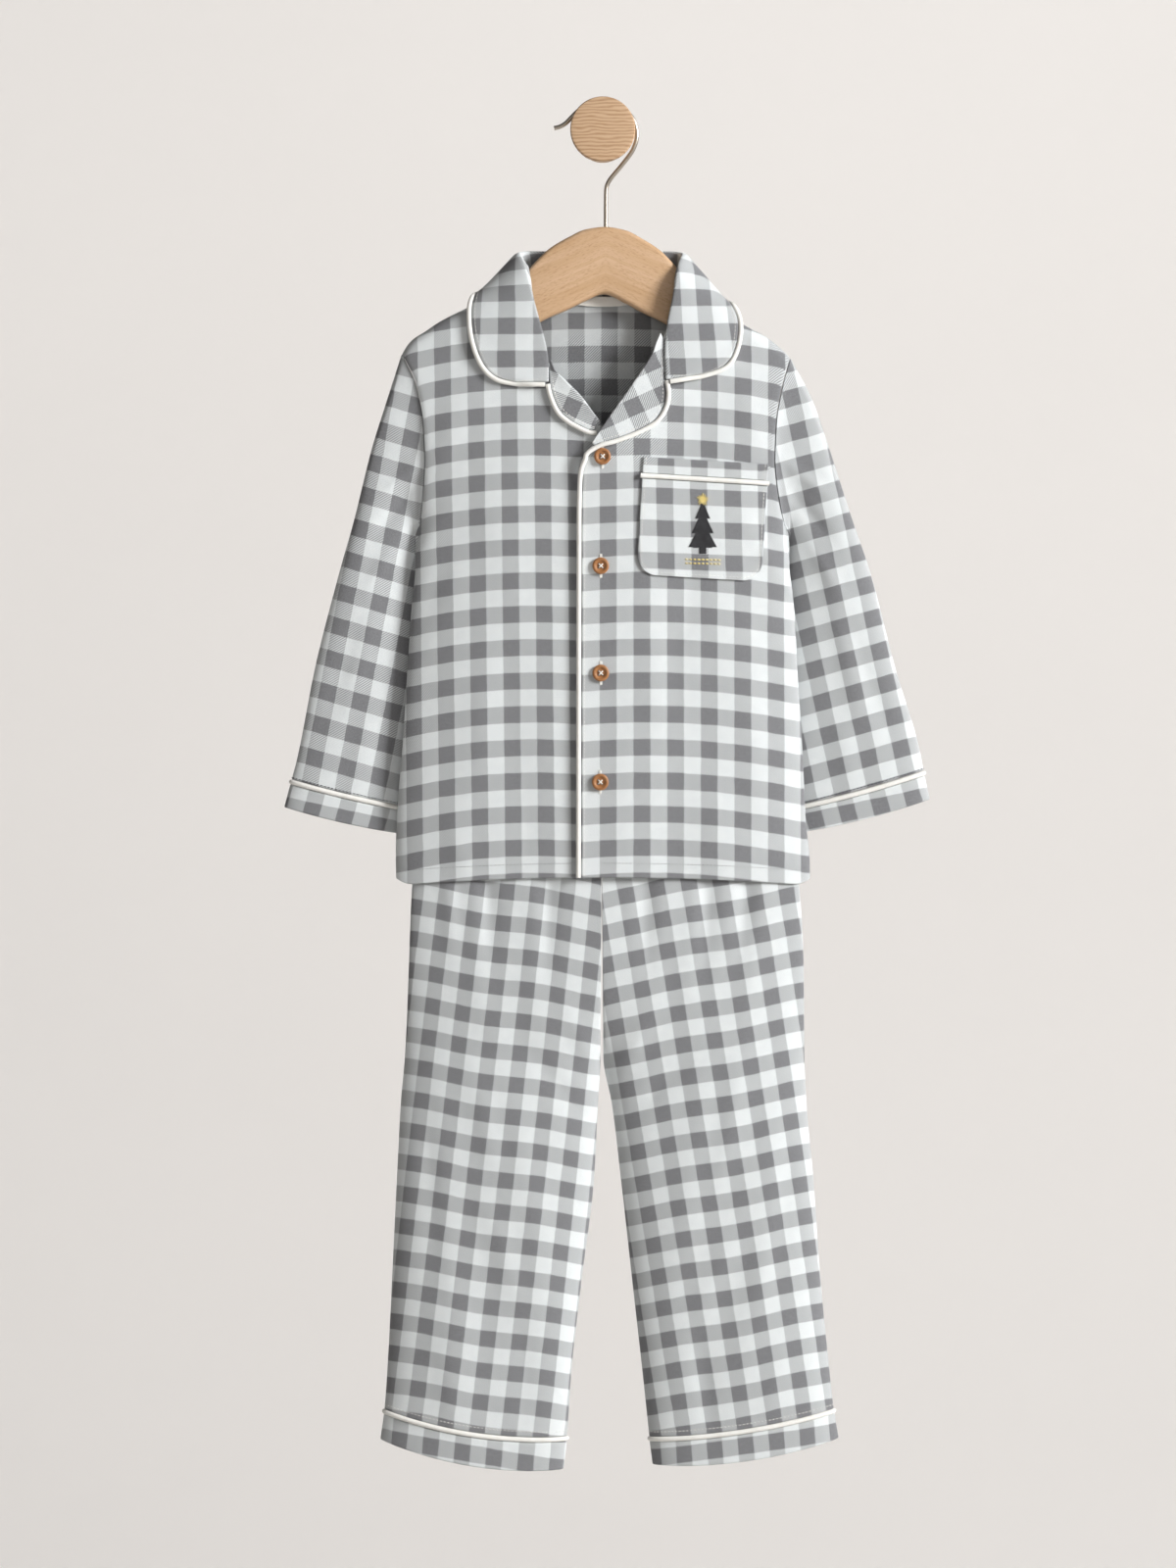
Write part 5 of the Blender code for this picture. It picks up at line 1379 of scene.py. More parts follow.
def peg_wood():
    """Turned and oiled peg: wavy growth lines across its face every 3 mm."""
    wood = bpy.context.scene.pyjama_wood
    material, shader, n = blank("oiled turned wood")
    place = in_millimetres(n)
    sway = streaks(n, place, (0.035, 0.02, 0.1), 2.0)
    axes = n("SeparateXYZ", {0: place})
    lines = n("Math", {0: sway, 1: 7.0, 2: axes.outputs["Z"]}, operation="MULTIPLY_ADD")
    lines = n("Math", {0: lines, 1: 1.35}, operation="PINGPONG")
    lines = n("MapRange", {0: lines, 1: 0.1, 2: 1.2})
    fine = streaks(n, place, (0.12, 0.12, 2.2), 4.0)
    share = n("Math", {0: lines, 1: fine}, operation="MULTIPLY")
    share = n("MapRange", {0: share, 1: 0.1, 2: 0.6})
    tone = n("Mix", {0: share, 6: wood.peg, 7: wood.peg_grain}, data_type="RGBA")
    rough = n("MapRange", {0: fine, 3: 0.45, 4: 0.62})
    bump = n("Bump", {"Height": share, "Strength": 0.15, "Distance": 0.0002})
    join(shader, {"Base Color": tone.outputs[2], "Roughness": rough, "Normal": bump})
    return material


def button_wood():
    """Turned coconut-wood button: fine darker streaks, sanded and waxed."""
    trim = bpy.context.scene.pyjama_trim
    material, shader, n = blank("waxed button wood")
    streak = streaks(n, in_millimetres(n), (0.35, 0.5, 2.2), 4.0, turn=(0, 0.5, 0))
    share = n("MapRange", {0: streak, 1: 0.35, 2: 0.7})
    tone = n("Mix", {0: share, 6: trim.button, 7: trim.button_dark}, data_type="RGBA")
    rough = n("MapRange", {0: streak, 3: 0.35, 4: 0.6})
    bump = n("Bump", {"Height": streak, "Strength": 0.2, "Distance": 0.0002})
    join(shader, {"Base Color": tone.outputs[2], "Roughness": rough, "Normal": bump})
    return material


def hook_wire():
    """Drawn steel wire with a satin nickel plate: fine lines, softly blurred reflections."""
    trim = bpy.context.scene.pyjama_trim
    material, shader, n = blank("satin nickel wire")
    lines = n("TexNoise", {"Vector": in_millimetres(n), "Scale": 2.4, "Detail": 3.0})
    tone = n("Mix", {0: lines, 6: trim.wire, 7: trim.wire_dark}, data_type="RGBA")
    rough = n("MapRange", {0: lines, 3: 0.24, 4: 0.42})
    bump = n("Bump", {"Height": lines, "Strength": 0.06, "Distance": 0.0001})
    join(shader, {"Base Color": tone.outputs[2], "Roughness": rough, "Normal": bump, "Metallic": 1.0})
    return material


def studio_paper():
    """Seamless matt background paper, faintly mottled."""
    paper = bpy.context.scene.pyjama_stage.paper
    material, shader, n = blank("seamless paper")
    place = n("TexCoord")
    soft = n("TexNoise", {"Vector": place.outputs["Object"], "Scale": 1.2, "Detail": 3.0})
    tone = n("Mix", {0: soft, 6: paper, 7: [value * 0.97 for value in paper]}, data_type="RGBA")
    rough = n("MapRange", {0: soft, 3: 0.9, 4: 1.0})
    join(shader, {"Base Color": tone.outputs[2], "Roughness": rough, "Specular IOR Level": 0.1})
    return material


def trim_cotton():
    return woven_trim("cream cotton piping", "piping", "piping_shade")


def tape_cotton():
    return woven_trim("herringbone cotton tape", "tape", "piping_shade", line=1.6)


def pale_thread():
    return woven_trim("pale sewing thread", "thread", "piping_shade", line=0.5)


def grey_thread():
    return woven_trim("grey sewing thread", "dark_thread", "dark_thread", line=0.5)


def black_thread():
    return woven_trim("black embroidery thread", "motif", "motif_light", line=0.5)


def gold_thread():
    """Gold-coloured embroidery thread: a metallised film wound round a core, which glints unevenly."""
    return woven_trim("gold embroidery thread", "gold", "gold_dark", line=0.6, metallic=0.2)


MADE_MATERIALS = {}


def finish_of(maker):
    """Material of a maker, made once."""
    if maker not in MADE_MATERIALS:
        MADE_MATERIALS[maker] = maker()
    return MADE_MATERIALS[maker]


# ---- Pieces ----


def make_fronts():
    us = spaced(FRONT_ACROSS, first=ROLL_STEP * 3, last=ROLL_STEP)
    vs = spaced(FRONT_DOWN, first=ROLL_STEP / 4, last=ROLL_STEP * 3)
    for side, label in SIDES:
        points = grid_of(front_surface(side), us, vs)
        cloth_piece("jacket_front_" + label, points, "hanger", (0.4, 0.3), flat_rim=seam_on_mid_plane)


def seam_on_mid_plane(row, column, point):
    """1 on the rims at the shoulder and side seams."""
    return 1.0 if abs(point.y - MID_Y) < SEAM_GAP * 1.2 else 0.0


def make_back():
    us = spaced(BACK_ACROSS, first=ROLL_STEP, last=ROLL_STEP)
    right, left = (NECK_HALF_WIDTH / SHOULDER_TIP[side] for side in (RIGHT, LEFT))
    us = closer_at(us, [(1 - right) / 2, (1 + left) / 2], NECK_CORNER_GAPS)
    vs = spaced(BACK_DOWN, first=ROLL_STEP / 4, last=ROLL_STEP * 3)
    points = grid_of(back_surface, us, vs)
    cloth_piece("jacket_back", points, "hanger", (0.4, 0.5), flat_rim=seam_on_mid_plane)
    back = bpy.data.objects["jacket_back_cloth"].data
    # Faces looking forward, into the jacket, get the darker copy of the flannel: painted shade inside the
    # neck.
    back.materials.append(finish_of(flannel_reverse))
    for face in back.polygons:
        face.material_index = 1 if face.normal.y < 0 else 0


def unrolled(name, fold, downs):
    """Grain of a tube as seen on its front, and unrolled over its outer fold on its back."""
    grain = grain_of(name)

    def place(point, row, on_back):
        if not on_back:
            return grain(point)
        here = fold(downs[row])
        line = fold(downs[row] + 1) - fold(downs[row] - 1)
        away = point - here
        line.y = away.y = 0
        line.normalize()
        return grain(here + line * (2 * away.dot(line)) - away)

    return place


def tube_piece(name, surface, downs, girth, rests_on):
    """Sleeve, cuff or hem band: a tube from its inner fold over its back to its front."""
    half = round(girth / CLOTH_STEP)
    points = [[surface(0.5 + i / (2 * half), down) for i in range(2 * half)] for down in downs]
    place = unrolled(name, partial(surface, 0.0), downs)
    pattern = []
    for i, row in enumerate(points):
        row = row + [row[0]]
        laid = [Vector(place(point, i, j < half)) for j, point in enumerate(row)]
        sign = math.copysign(1, laid[-1].x - laid[half].x)
        for j, gained in gained_from(row, half + half // 2):
            laid[j].x += sign * gained
        pattern.append(laid)
    cloth_piece(name, points, rests_on, pattern=pattern, closed=True)


def band_downs(piping_down, hem_down):
    """Rows of a band from its piping to its hem."""
    start = piping_down + PIPING_OFF
    length = hem_down - start
    return [start + share * length for share in spaced(length, BAND_STEP, ROLL_STEP * 4, ROLL_STEP * 4)]


def make_sleeves():
    end = SLEEVE_PIPING_DOWN - PIPING_OFF
    downs = [share * end for share in spaced(end, first=ROLL_STEP * 3, last=ROLL_STEP * 4)]
    cuff_downs = band_downs(SLEEVE_PIPING_DOWN, CUFF_HEM_DOWN)
    for side, label in SIDES:
        surface = partial(sleeve_point, side)
        tube_piece("sleeve_" + label, surface, downs, SLEEVE_GIRTH, "jacket_front_" + label + "_cloth")
        tube_piece("cuff_" + label, surface, cuff_downs, SLEEVE_GIRTH, "sleeve_" + label + "_cloth")


def make_trousers():
    end = LEG_PIPING_DOWN - PIPING_OFF
    us = spaced(LEG_ACROSS, first=ROLL_STEP, last=ROLL_STEP)
    vs = spaced(end, first=ROLL_STEP * 4, last=ROLL_STEP * 4)
    downs = band_downs(LEG_PIPING_DOWN, LEG_HEM_DOWN)

    def seams(row, column, point):
        """1 on the rim at the outer seam, and at the inner one from the crotch down."""
        if column == 0:
            return hip_closing(vs[row] * end)
        return 1.0 if column == len(us) - 1 else 0.0

    for side, label in SIDES:
        for face, face_name in ((FRONT, "front_"), (BACK, "back_")):
            points = [[leg_point(side, 1 - u, face, v * end) for u in us] for v in vs]
            name, grain = "trouser_" + face_name + label, "trouser_" + label
            cloth_piece(name, points, "waistband_cloth", grain=grain, flat_rim=seams)
        rests_on = "trouser_front_" + label + "_cloth"
        tube_piece("hem_band_" + label, partial(hem_point, side), downs, LEG_GIRTH, rests_on)


def make_waistband():
    """Elastic waistband, gathered all round."""
    right, left = (section_at(LEG_CURVES[side], 0) for side in (RIGHT, LEFT))
    half_width = (left["outer_x"] - right["outer_x"]) / 2
    middle = (left["outer_x"] + right["outer_x"]) / 2
    count = WAIST_GATHERS * 12

    def band(j, height):
        angle = j / count * 2 * math.pi
        face = FRONT if math.sin(angle) >= 0 else BACK
        swell = flat_round(math.cos(angle))
        wave = GATHER_DEPTH * math.sin(angle * WAIST_GATHERS) * swell * (0.8 + 0.3 * math.sin(height / 5))
        y = left["outer_y"] + face * (left["front" if face == FRONT else "back"] * swell + wave)
        return Vector((middle + half_width * math.cos(angle), y, WAIST_Z + height))

    points, normals, pattern = [], [], []
    for share in spaced(WAISTBAND_HEIGHT, 2.4, 0.5, 0.5):
        height = lerp(WAISTBAND_HEIGHT, 2.5 * SEAM_GAP, share)
        row = [band(j, height) for j in range(count)]
        points.append(row)
        up = Vector((0, 0, 1))
        normals.append([(row[(j + 1) % count] - row[j - 1]).cross(up).normalized() for j in range(count)])
        pattern.append([Vector((j / count * WAIST_GIRTH, height)) for j in range(count + 1)])
    cloth_piece("waistband", points, "jacket_back_cloth", normals=normals, pattern=pattern, closed=True)


def collar_grid():
    """Middle surface of the collar, and the column where it rolls over."""
    each = 5
    return finer(collar_sections(), each, each), 3 * each


def meet_behind(pattern, points, halves):
    middle_row = halves[1][1]
    repeat = 2 * bpy.context.scene.pyjama_cloth.square / MM
    whole = None
    for j in range(len(points[0])):
        step = (points[middle_row][j] - points[middle_row - 1][j]).length
        apart = pattern[middle_row][j] - pattern[middle_row - 1][j] - Vector((step, 0.0))
        if whole is None:
            whole = Vector((round(apart.x / repeat) * repeat, round(apart.y / repeat) * repeat))
        rest = apart - whole
        for i in range(middle_row, len(points)):
            pattern[i][j] -= whole
        for start, stop, way in halves:
            for i in range(start, stop + way, way):
                pattern[i][j] += rest * (way * (i - start) / (stop - start) / 2)


def make_collar():
    """Collar with its pattern laid out from both fronts to the back of the neck."""
    points, roll = collar_grid()
    last, middle_row = len(points) - 1, len(points) // 2
    leaf = {RIGHT: grain_of("collar_right"), LEFT: grain_of("collar_left")}
    pattern = []
    for i, row in enumerate(points):
        grain = leaf[RIGHT if i < middle_row else LEFT]
        laid = [Vector(grain(point)) for point in row]
        for place in laid[:roll]:
            place.y = 2 * laid[roll].y - place.y
        pattern.append(laid)
    halves = (COLLAR_FLAT_ROW, middle_row - 1, 1), (last - COLLAR_FLAT_ROW, middle_row, -1)
    for start, stop, way in halves:
        for j in range(len(points[0])):
            gained = Vector((0.0, 0.0))
            laid = [row[j].copy() for row in pattern]
            for i in range(start, stop, way):
                run = laid[i + way] - laid[i]
                if run.length > WELD:
                    gained += run.normalized() * gain(points[i][j], points[i + way][j])
                pattern[i + way][j] += gained
    meet_behind(pattern, points, halves)
    cloth_piece("collar", points, "hanger", pattern=pattern)


def make_lapels():
    for side, label in SIDES:
        cloth_piece("lapel_" + label, finer(lapel_grid(side), 4, 6), "jacket_front_" + label + "_cloth")


def make_pocket():
    half = POCKET_WIDTH / 2
    gap = PIPING_RADIUS + PIPING_GAP

    def bag(u, v):
        down = lerp(gap, POCKET_DEPTH, v)
        into = max(down - (POCKET_DEPTH - POCKET_CORNER), 0)
        narrower = POCKET_CORNER - math.sqrt(max(POCKET_CORNER ** 2 - into ** 2, 0))
        x, z = pocket_place((2 * u - 1) * (half - narrower), -down)
        return on_left_front(x, z, CLOTH + LAYER_GAP)

    def band(u, v):
        x, z = pocket_place((2 * u - 1) * half, lerp(POCKET_BAND, gap, v))
        return on_left_front(x, z, CLOTH + LAYER_GAP)

    us = spaced(POCKET_WIDTH, 2.0, 0.4, 0.4)
    for name, surface, height in (("pocket_bag", bag, POCKET_DEPTH), ("pocket_band", band, POCKET_BAND)):
        vs = spaced(height - gap, 1.8, 0.4, 0.15)
        cloth_piece(name, grid_of(surface, us, vs), "jacket_front_left_cloth")


def make_neck_tape():
    inside = (CLOTH + TAPE_THICKNESS) / 2 + 2 * LAYER_GAP

    def tape(u, v):
        x = lerp(-TAPE_HALF_WIDTH, TAPE_HALF_WIDTH, u)
        z = back_neck_z(x) + lerp(TAPE_OVER_SEAM, -TAPE_HEIGHT, v)
        return Vector((x, body_y(BACK, side_of(x), x, z) - inside, z))

    points = grid_of(tape, spaced(2 * TAPE_HALF_WIDTH, 1.6), spaced(TAPE_HEIGHT, 0.9, 0.3, 0.3))
    kind = {"maker": tape_cotton, "thickness": TAPE_THICKNESS, "slot": "tape"}
    pattern = [[point.xz for point in row] for row in points]
    cloth_piece("neck_tape", points, "jacket_back_cloth", pattern=pattern, **kind)


def piping(name, path, closed=False):
    sizes = {"Radius": PIPING_RADIUS, "Sides": 14}
    grown(name + "_cord", round_cord_tree, [path], trim_cotton, closed, "piping", name, **sizes)


def collar_rim():
    """Outer rim of the collar from the right gorge round to the left one, with its normals."""
    sections = collar_sections()
    normals = grid_normals(sections)
    fall = range(len(sections[0]) - FALL_COLUMNS - 1, len(sections[0]) - 1)
    places = [(0, j) for j in fall] + [(i, -1) for i in range(len(sections))]
    places += [(-1, j) for j in reversed(fall)]
    rim = [sections[i][j] for i, j in places]
    rim[0] = rim[0].lerp(rim[1], NOTCH_SHARE)
    rim[-1] = rim[-1].lerp(rim[-2], NOTCH_SHARE)
    return rim, [normals[i][j] for i, j in places]


def make_piping():
    piping("collar_piping", smooth_path(beside(*collar_rim(), PIPING_OFF)))
    for side, first_piped in ((RIGHT, 2), (LEFT, 3)):
        rows = lapel_grid(side)
        normals = grid_normals(rows)
        path = beside([row[-1] for row in rows], [row[-1] for row in normals], PIPING_OFF)[first_piped:]
        for place in path:
            place.y = piping_y(side, place.x, place.z)
        if side == LEFT:
            piping("front_piping", smooth_path(path[:-1] + front_edge_path(), 6))
        else:
            path.append(path[-1] + (path[-1] - path[-2]).normalized() * LAPEL_PIPING_TUCK)
            piping("lapel_piping_right", smooth_path(path))
    path = []
    for i in range(25):
        x, z = pocket_place(lerp(-1, 1, i / 24) * (POCKET_WIDTH / 2 + POCKET_PIPING_OVERHANG), 0)
        path.append(on_left_front(x, z, CLOTH / 2 + PIPING_RADIUS + LAYER_GAP))
    piping("pocket_piping", path)
    bands = ("cuff_piping_", sleeve_point, SLEEVE_PIPING_DOWN), ("hem_piping_", hem_point, LEG_PIPING_DOWN)
    for side, label in SIDES:
        for name, tube, down in bands:
            ring = ring_off(partial(tube, side), down, 120, PIPING_PROUD)
            piping(name + label, ring, closed=True)


def turned(name, profile, centre, count, maker):
    """Solid turned about the y axis of a place from its profile."""
    solid = bmesh.new()
    corners = [solid.verts.new((point + centre) * MM) for point in smooth_profile(profile)]
    edges = [solid.edges.new(pair) for pair in zip(corners, corners[1:])]
    bmesh.ops.spin(
        solid, geom=corners + edges, cent=centre * MM, axis=Vector((0, 1, 0)), angle=2 * math.pi, steps=count,
        use_merge=True,
    )
    bmesh.ops.remove_doubles(solid, verts=solid.verts, dist=WELD * MM)
    return bmesh_object(name, solid, finish_of(maker))


def bmesh_object(name, solid, material=None):
    """Object of a closed bmesh, with its faces outwards."""
    bmesh.ops.recalc_face_normals(solid, faces=solid.faces)
    mesh = bpy.data.meshes.new(name)
    solid.to_mesh(mesh)
    solid.free()
    if material:
        mesh.materials.append(material)
        mesh.shade_smooth()
        mesh.set_sharp_from_angle(angle=SHARP_ANGLE)
    return placed(name, mesh)


def turned_button(number, spot):
    """Makes a button with four holes and gives the middle of its back."""
    surface_y = body_y(FRONT, LEFT, spot.x, spot.z) - CLOTH / 2
    centre = Vector((spot.x, surface_y - LAYER_GAP - BUTTON_LIFT, spot.z))
    profile = [Vector((row.radius, -row.height, 0)) for row in BUTTON_PROFILE]
    button = turned("button_%d_turned" % number, profile, centre, 48, button_wood)
    size = {"radius1": BUTTON_HOLE_RADIUS * MM, "radius2": BUTTON_HOLE_RADIUS * MM}
    holes = bmesh.new()
    for sx in (-1, 1):
        for sz in (-1, 1):
            place = centre + Vector((sx, 0, sz)) * BUTTON_HOLE_REACH
            depth = 3 * BUTTON_THICKNESS * MM
            made = bmesh.ops.create_cone(holes, cap_ends=True, segments=16, depth=depth, **size)
            for vertex in made["verts"]:
                vertex.co = vertex.co.xzy + place * MM
    cutter = bmesh_object("button holes", holes)
    modifier = button.modifiers.new("holes", "BOOLEAN")
    modifier.operation = "DIFFERENCE"
    modifier.object = cutter
    made = applied(button)
    bpy.data.objects.remove(cutter, do_unlink=True)
    made.shade_smooth()
    made.set_sharp_from_angle(angle=SHARP_ANGLE)
    finished(button, "button", "button_%d" % number)
    return centre


def smooth_profile(profile):
    """Profile with rounded corners, still starting and ending on the axis."""
    made = [profile[0]]
    for before, here, after in zip(profile, profile[1:], profile[2:]):
        made += [here.lerp(before, 0.22), here.lerp(before, 0.06).lerp(after, 0.06), here.lerp(after, 0.22)]
    return made + [profile[-1]]


def make_buttons():
    threads, bars = [], []
    reach = BUTTON_HOLE_REACH
    for number, spot in enumerate(BUTTONS, start=1):
        centre = turned_button(number, spot)
        for sx in (-1, 1):
            arch = []
            for i in range(9):
                t = lerp(-1, 1, i / 8)
                lift = 1.5 + 0.55 * (1 - t * t) + (0.25 if sx > 0 else 0)
                drop = 1.6 if abs(t) == 1 else 0
                arch.append(centre + Vector((t * reach, -lift + drop, t * sx * reach)))
            threads.append(smooth_path(arch, 2))
        for sz in (-1, 1):
            for offset in (-0.6, 0, 0.6):
                line = []
                for i in range(6):
                    z = spot.z + sz * lerp(BUTTON_RADIUS - 1.5, BUTTON_RADIUS + 2.6, i / 5)
                    y = body_y(FRONT, LEFT, spot.x, z) - CLOTH / 2 - 0.2
                    line.append(Vector((spot.x + offset, y, z)))
                bars.append(line)
    grown("button_thread", round_cord_tree, threads, pale_thread, Radius=0.5, Sides=8)
    grown("buttonhole_bars", round_cord_tree, bars, pale_thread, Radius=0.4, Sides=8)


def make_hanger():
    """Flat board with arched arms and rounded edges."""
    outline = curves([row._replace(out=-row.out) for row in HANGER[1:]] + HANGER, "out")
    span = HANGER[-1].out
    half = HANGER_THICKNESS / 2
    rounding = []
    for i in range(7):
        angle = i * math.pi / 12
        y = HANGER_ROUNDING * (1 - math.cos(angle)) - half
        rounding.append((y, HANGER_ROUNDING * (1 - math.sin(angle))))
    rounding += [(-y, edge) for y, edge in reversed(rounding)]
    vertices, faces = [], []
    stations, count = 161, 2 * len(rounding)
    for i in range(stations):
        out = lerp(-span, span, i / (stations - 1))
        top = [(y, outline["top"](out) + edge) for y, edge in rounding]
        bottom = [(y, outline["bottom"](out) - edge) for y, edge in reversed(rounding)]
        for y, drop in top + bottom:
            x, z = hanger_point(out, drop)
            vertices.append(Vector((x, MID_Y + y, z)))
        if i:
            faces += round_band((i - 1) * count, count)
    faces.append(tuple(reversed(range(count))))
    faces.append(tuple(range((stations - 1) * count, stations * count)))
    faces, _ = outward(vertices, faces, [()] * len(faces))
    board = mesh_object("hanger_board", vertices, faces, finish_of(beech))
    board.data.set_sharp_from_angle(angle=SHARP_ANGLE)
    finished(board, "beech", "hanger")


def round_band(start, count):
    """Faces from one ring of vertices to the next."""
    pairs = [(start + j, start + (j + 1) % count) for j in range(count)]
    return [(a, b, b + count, a + count) for a, b in pairs]


def make_hook():
    path = smooth_path([Vector((row.x, MID_Y, row.z)) for row in HOOK], 10)
    sizes = {"Radius": HOOK_RADIUS, "Sides": 20}
    grown("hook_wire", round_cord_tree, [path], hook_wire, False, "wire", "hook", **sizes)


def make_peg():
    profile = [Vector((row.radius, -row.out, 0)) for row in PEG]
    profile = [Vector((0, 0, 0))] + profile + [Vector((0, -PEG_LENGTH, 0))]
    finished(turned("wall_peg_turned", profile, Vector(), 96, peg_wood), "pine", "wall_peg")


def walked(line, distance):
    """Place on a line of points at a distance along it."""
    for a, b in zip(line, line[1:]):
        gap = (b - a).length
        if gap > distance:
            return a.lerp(b, distance / gap)
        distance -= gap
    return line[-1]


def length_of(line):
    return sum((b - a).length for a, b in zip(line, line[1:]))


def outer_face(points, away_from, lift):
    """Grid on the face of a cloth that looks away from a place."""
    normals = grid_normals(points)
    row, column = len(points) // 2, len(points[0]) - 2
    sign = math.copysign(1, normals[row][column].dot(points[row][column] - away_from))
    return [[p + n * (sign * lift) for p, n in zip(*rows)] for rows in zip(points, normals)]


def stitches(name, paths, maker, closed=False, **sizes):
    """Rows of running stitches in one thread."""
    trim = bpy.context.scene.pyjama_trim
    usual = {"Pitch": trim.stitch_pitch, "Length": trim.stitch_length, "Thickness": trim.stitch_thickness}
    sizes = {**{size: metres / MM for size, metres in usual.items()}, **sizes}
    grown(name, stitch_tree, paths, maker, closed, **sizes)


def stitch_collar():
    """One row just inside the collar's piping, round both leaves."""
    points, roll = collar_grid()
    face = outer_face(points, Vector((0, NECK_CENTRE_Y, points[0][-1].z)), CLOTH / 2)
    path = []
    for flip in (False, True):
        rows = face[::-1] if flip else face
        part = []
        for j in range(roll + 8, len(rows[0])):
            if length_of(rows[0][j:]) > STITCH_INSET:
                part.append(walked([row[j] for row in rows], STITCH_INSET))
        middle = len(rows) // 2 + 1
        for i in range(middle):
            if length_of([row[-1] for row in rows[: i + 1]]) > STITCH_INSET:
                part.append(walked(rows[i][::-1], STITCH_INSET))
        path += part[::-1] if flip else part
    stitches("collar_topstitch", [path], pale_thread)


def stitch_fronts():
    """Rows beside the lapels' pipings, down the front edge and along the hems."""
    paths = []
    for side in (RIGHT, LEFT):
        points = finer(lapel_grid(side), 4, 6)
        face = outer_face(points, Vector((0, 0, points[0][0].z)), CLOTH / 2)
        paths.append([walked(row[::-1], STITCH_INSET) for row in face[6:-2]])
    edge = []
    for i in range(120):
        z = lerp(FRONT_PIPING_ROWS[0] - 4, JACKET_HEM_Z + HEM_ARCH + 2, i / 119)
        x = FRONT_X[LEFT](z) + EDGE_STITCH_INSET
        edge.append(Vector((x, body_y(FRONT, LEFT, x, z) - CLOTH / 2, z)))
    stitches("front_topstitch", paths + [edge], pale_thread)
    hems = []
    end = HALF_CHEST - 4
    right, left = FRONT_X[RIGHT](JACKET_HEM_Z) - 4, FRONT_X[LEFT](JACKET_HEM_Z) + 4
    for face, first, last in ((FRONT, right, -end), (FRONT, left, end), (BACK, -end, end)):
        row = []
        for i in range(90):
            x = lerp(first, last, i / 89)
            z = hem_z(x, abs(x) / HALF_CHEST) + HEM_STITCH_HEIGHT
            row.append(Vector((x, body_y(face, side_of(x), x, z) + face * CLOTH / 2, z)))
        hems.append(row)
    stitches("hem_stitching", hems, grey_thread)


def stitch_pocket():
    """Row round the pocket bag, and short rows at the sides of its band."""
    inset = POCKET_STITCH_INSET
    half, corner = POCKET_WIDTH / 2 - inset, POCKET_CORNER - inset
    lift = 1.5 * CLOTH + LAYER_GAP
    outline = [(-half, -3.0), (-half, corner - POCKET_DEPTH + inset)]
    for i in range(1, 9):
        angle = i * math.pi / 16
        v = inset - POCKET_DEPTH + corner * (1 - math.sin(angle))
        outline.append((-half + corner * (1 - math.cos(angle)), v))
    outline += [(-u, v) for u, v in reversed(outline)]
    path = []
    for (u, v), (next_u, next_v) in zip(outline, outline[1:]):
        count = max(round(math.hypot(next_u - u, next_v - v) / 3), 1)
        for i in range(count):
            x, z = pocket_place(lerp(u, next_u, i / count), lerp(v, next_v, i / count))
            path.append(on_left_front(x, z, lift))
    paths = [path]
    for u in (-half, half):
        heights = (2.6, 5.0, 8.0, 11.0, POCKET_BAND - 1.4)
        paths.append([on_left_front(*pocket_place(u, v), lift) for v in heights])
    stitches("pocket_topstitch", paths, pale_thread, Thickness=0.5)


def stitch_bands():
    """Rows above the pipings of the cuffs and the trouser hems."""
    off = CLOTH / 2 + 0.1
    cuffs, legs = [], []
    for side in (RIGHT, LEFT):
        leg = partial(hem_point, side, gap=SEAM_GAP / 2)
        cuffs.append(ring_off(partial(sleeve_point, side), SLEEVE_PIPING_DOWN - BAND_STITCH_UP, 90, off))
        legs.append(ring_off(leg, LEG_PIPING_DOWN - HEM_BAND_STITCH_UP, 160, off))
    stitches("cuff_stitching", cuffs, grey_thread, closed=True, Thickness=0.8)
    stitches("leg_stitching", legs, pale_thread, closed=True, Length=1.6, Thickness=0.7)


def make_motif():
    """Embroidery on the pocket: a fir in satin stitch, a starburst over it and two gold rows below."""

    def thread(places, off=0.1):
        return [on_left_front(x, z, 1.5 * CLOTH + LAYER_GAP + off) for x, z in places]

    tree = []
    x0, top, foot = MOTIF_X, MOTIF_TOP, MOTIF_FOOT
    rows = round((top - foot) / MOTIF_PITCH)
    for i in range(rows + 1):
        share = i / rows
        tier = share * MOTIF_TIERS % 1.0
        half = MOTIF_HALF_WIDTH * (0.12 + share * 0.55 + 0.36 * tier * (0.5 + share / 2))
        z = lerp(top, foot, share)
        tree.append(thread([(lerp(x0 - half, x0 + half, j / 6), z - 0.5 * abs(j / 3 - 1)) for j in range(7)]))
    for i in range(8):
        z = foot - MOTIF_PITCH * (i + 1)
        tree.append(thread([(x0 + out, z) for out in (-MOTIF_TRUNK, 0, MOTIF_TRUNK)]))
    grown("pocket_fir", round_cord_tree, tree, black_thread, Radius=0.42, Sides=6)
    gold = []
    for i in range(MOTIF_RAYS):
        angle = i * 2 * math.pi / MOTIF_RAYS + 0.3
        reaches = (0.3, MOTIF_STAR * (1.0, 0.7, 0.88)[i % 3])
        ray = [(x0 + out * math.cos(angle), top + MOTIF_STAR_UP + out * math.sin(angle)) for out in reaches]
        gold.append(thread(ray, 0.3))
    grown("pocket_star", round_cord_tree, gold, gold_thread, Radius=0.42, Sides=6)
    rows = []
    for drop in (9.5, 12.5):
        row = [(x0 + lerp(-12.5, 12.5, i / 12), foot - drop - 0.06 * i) for i in range(13)]
        rows.append(thread(row, 0.3))
    stitches("pocket_gold_rows", rows, gold_thread, Length=2.5, Pitch=3.1, Thickness=1.4)


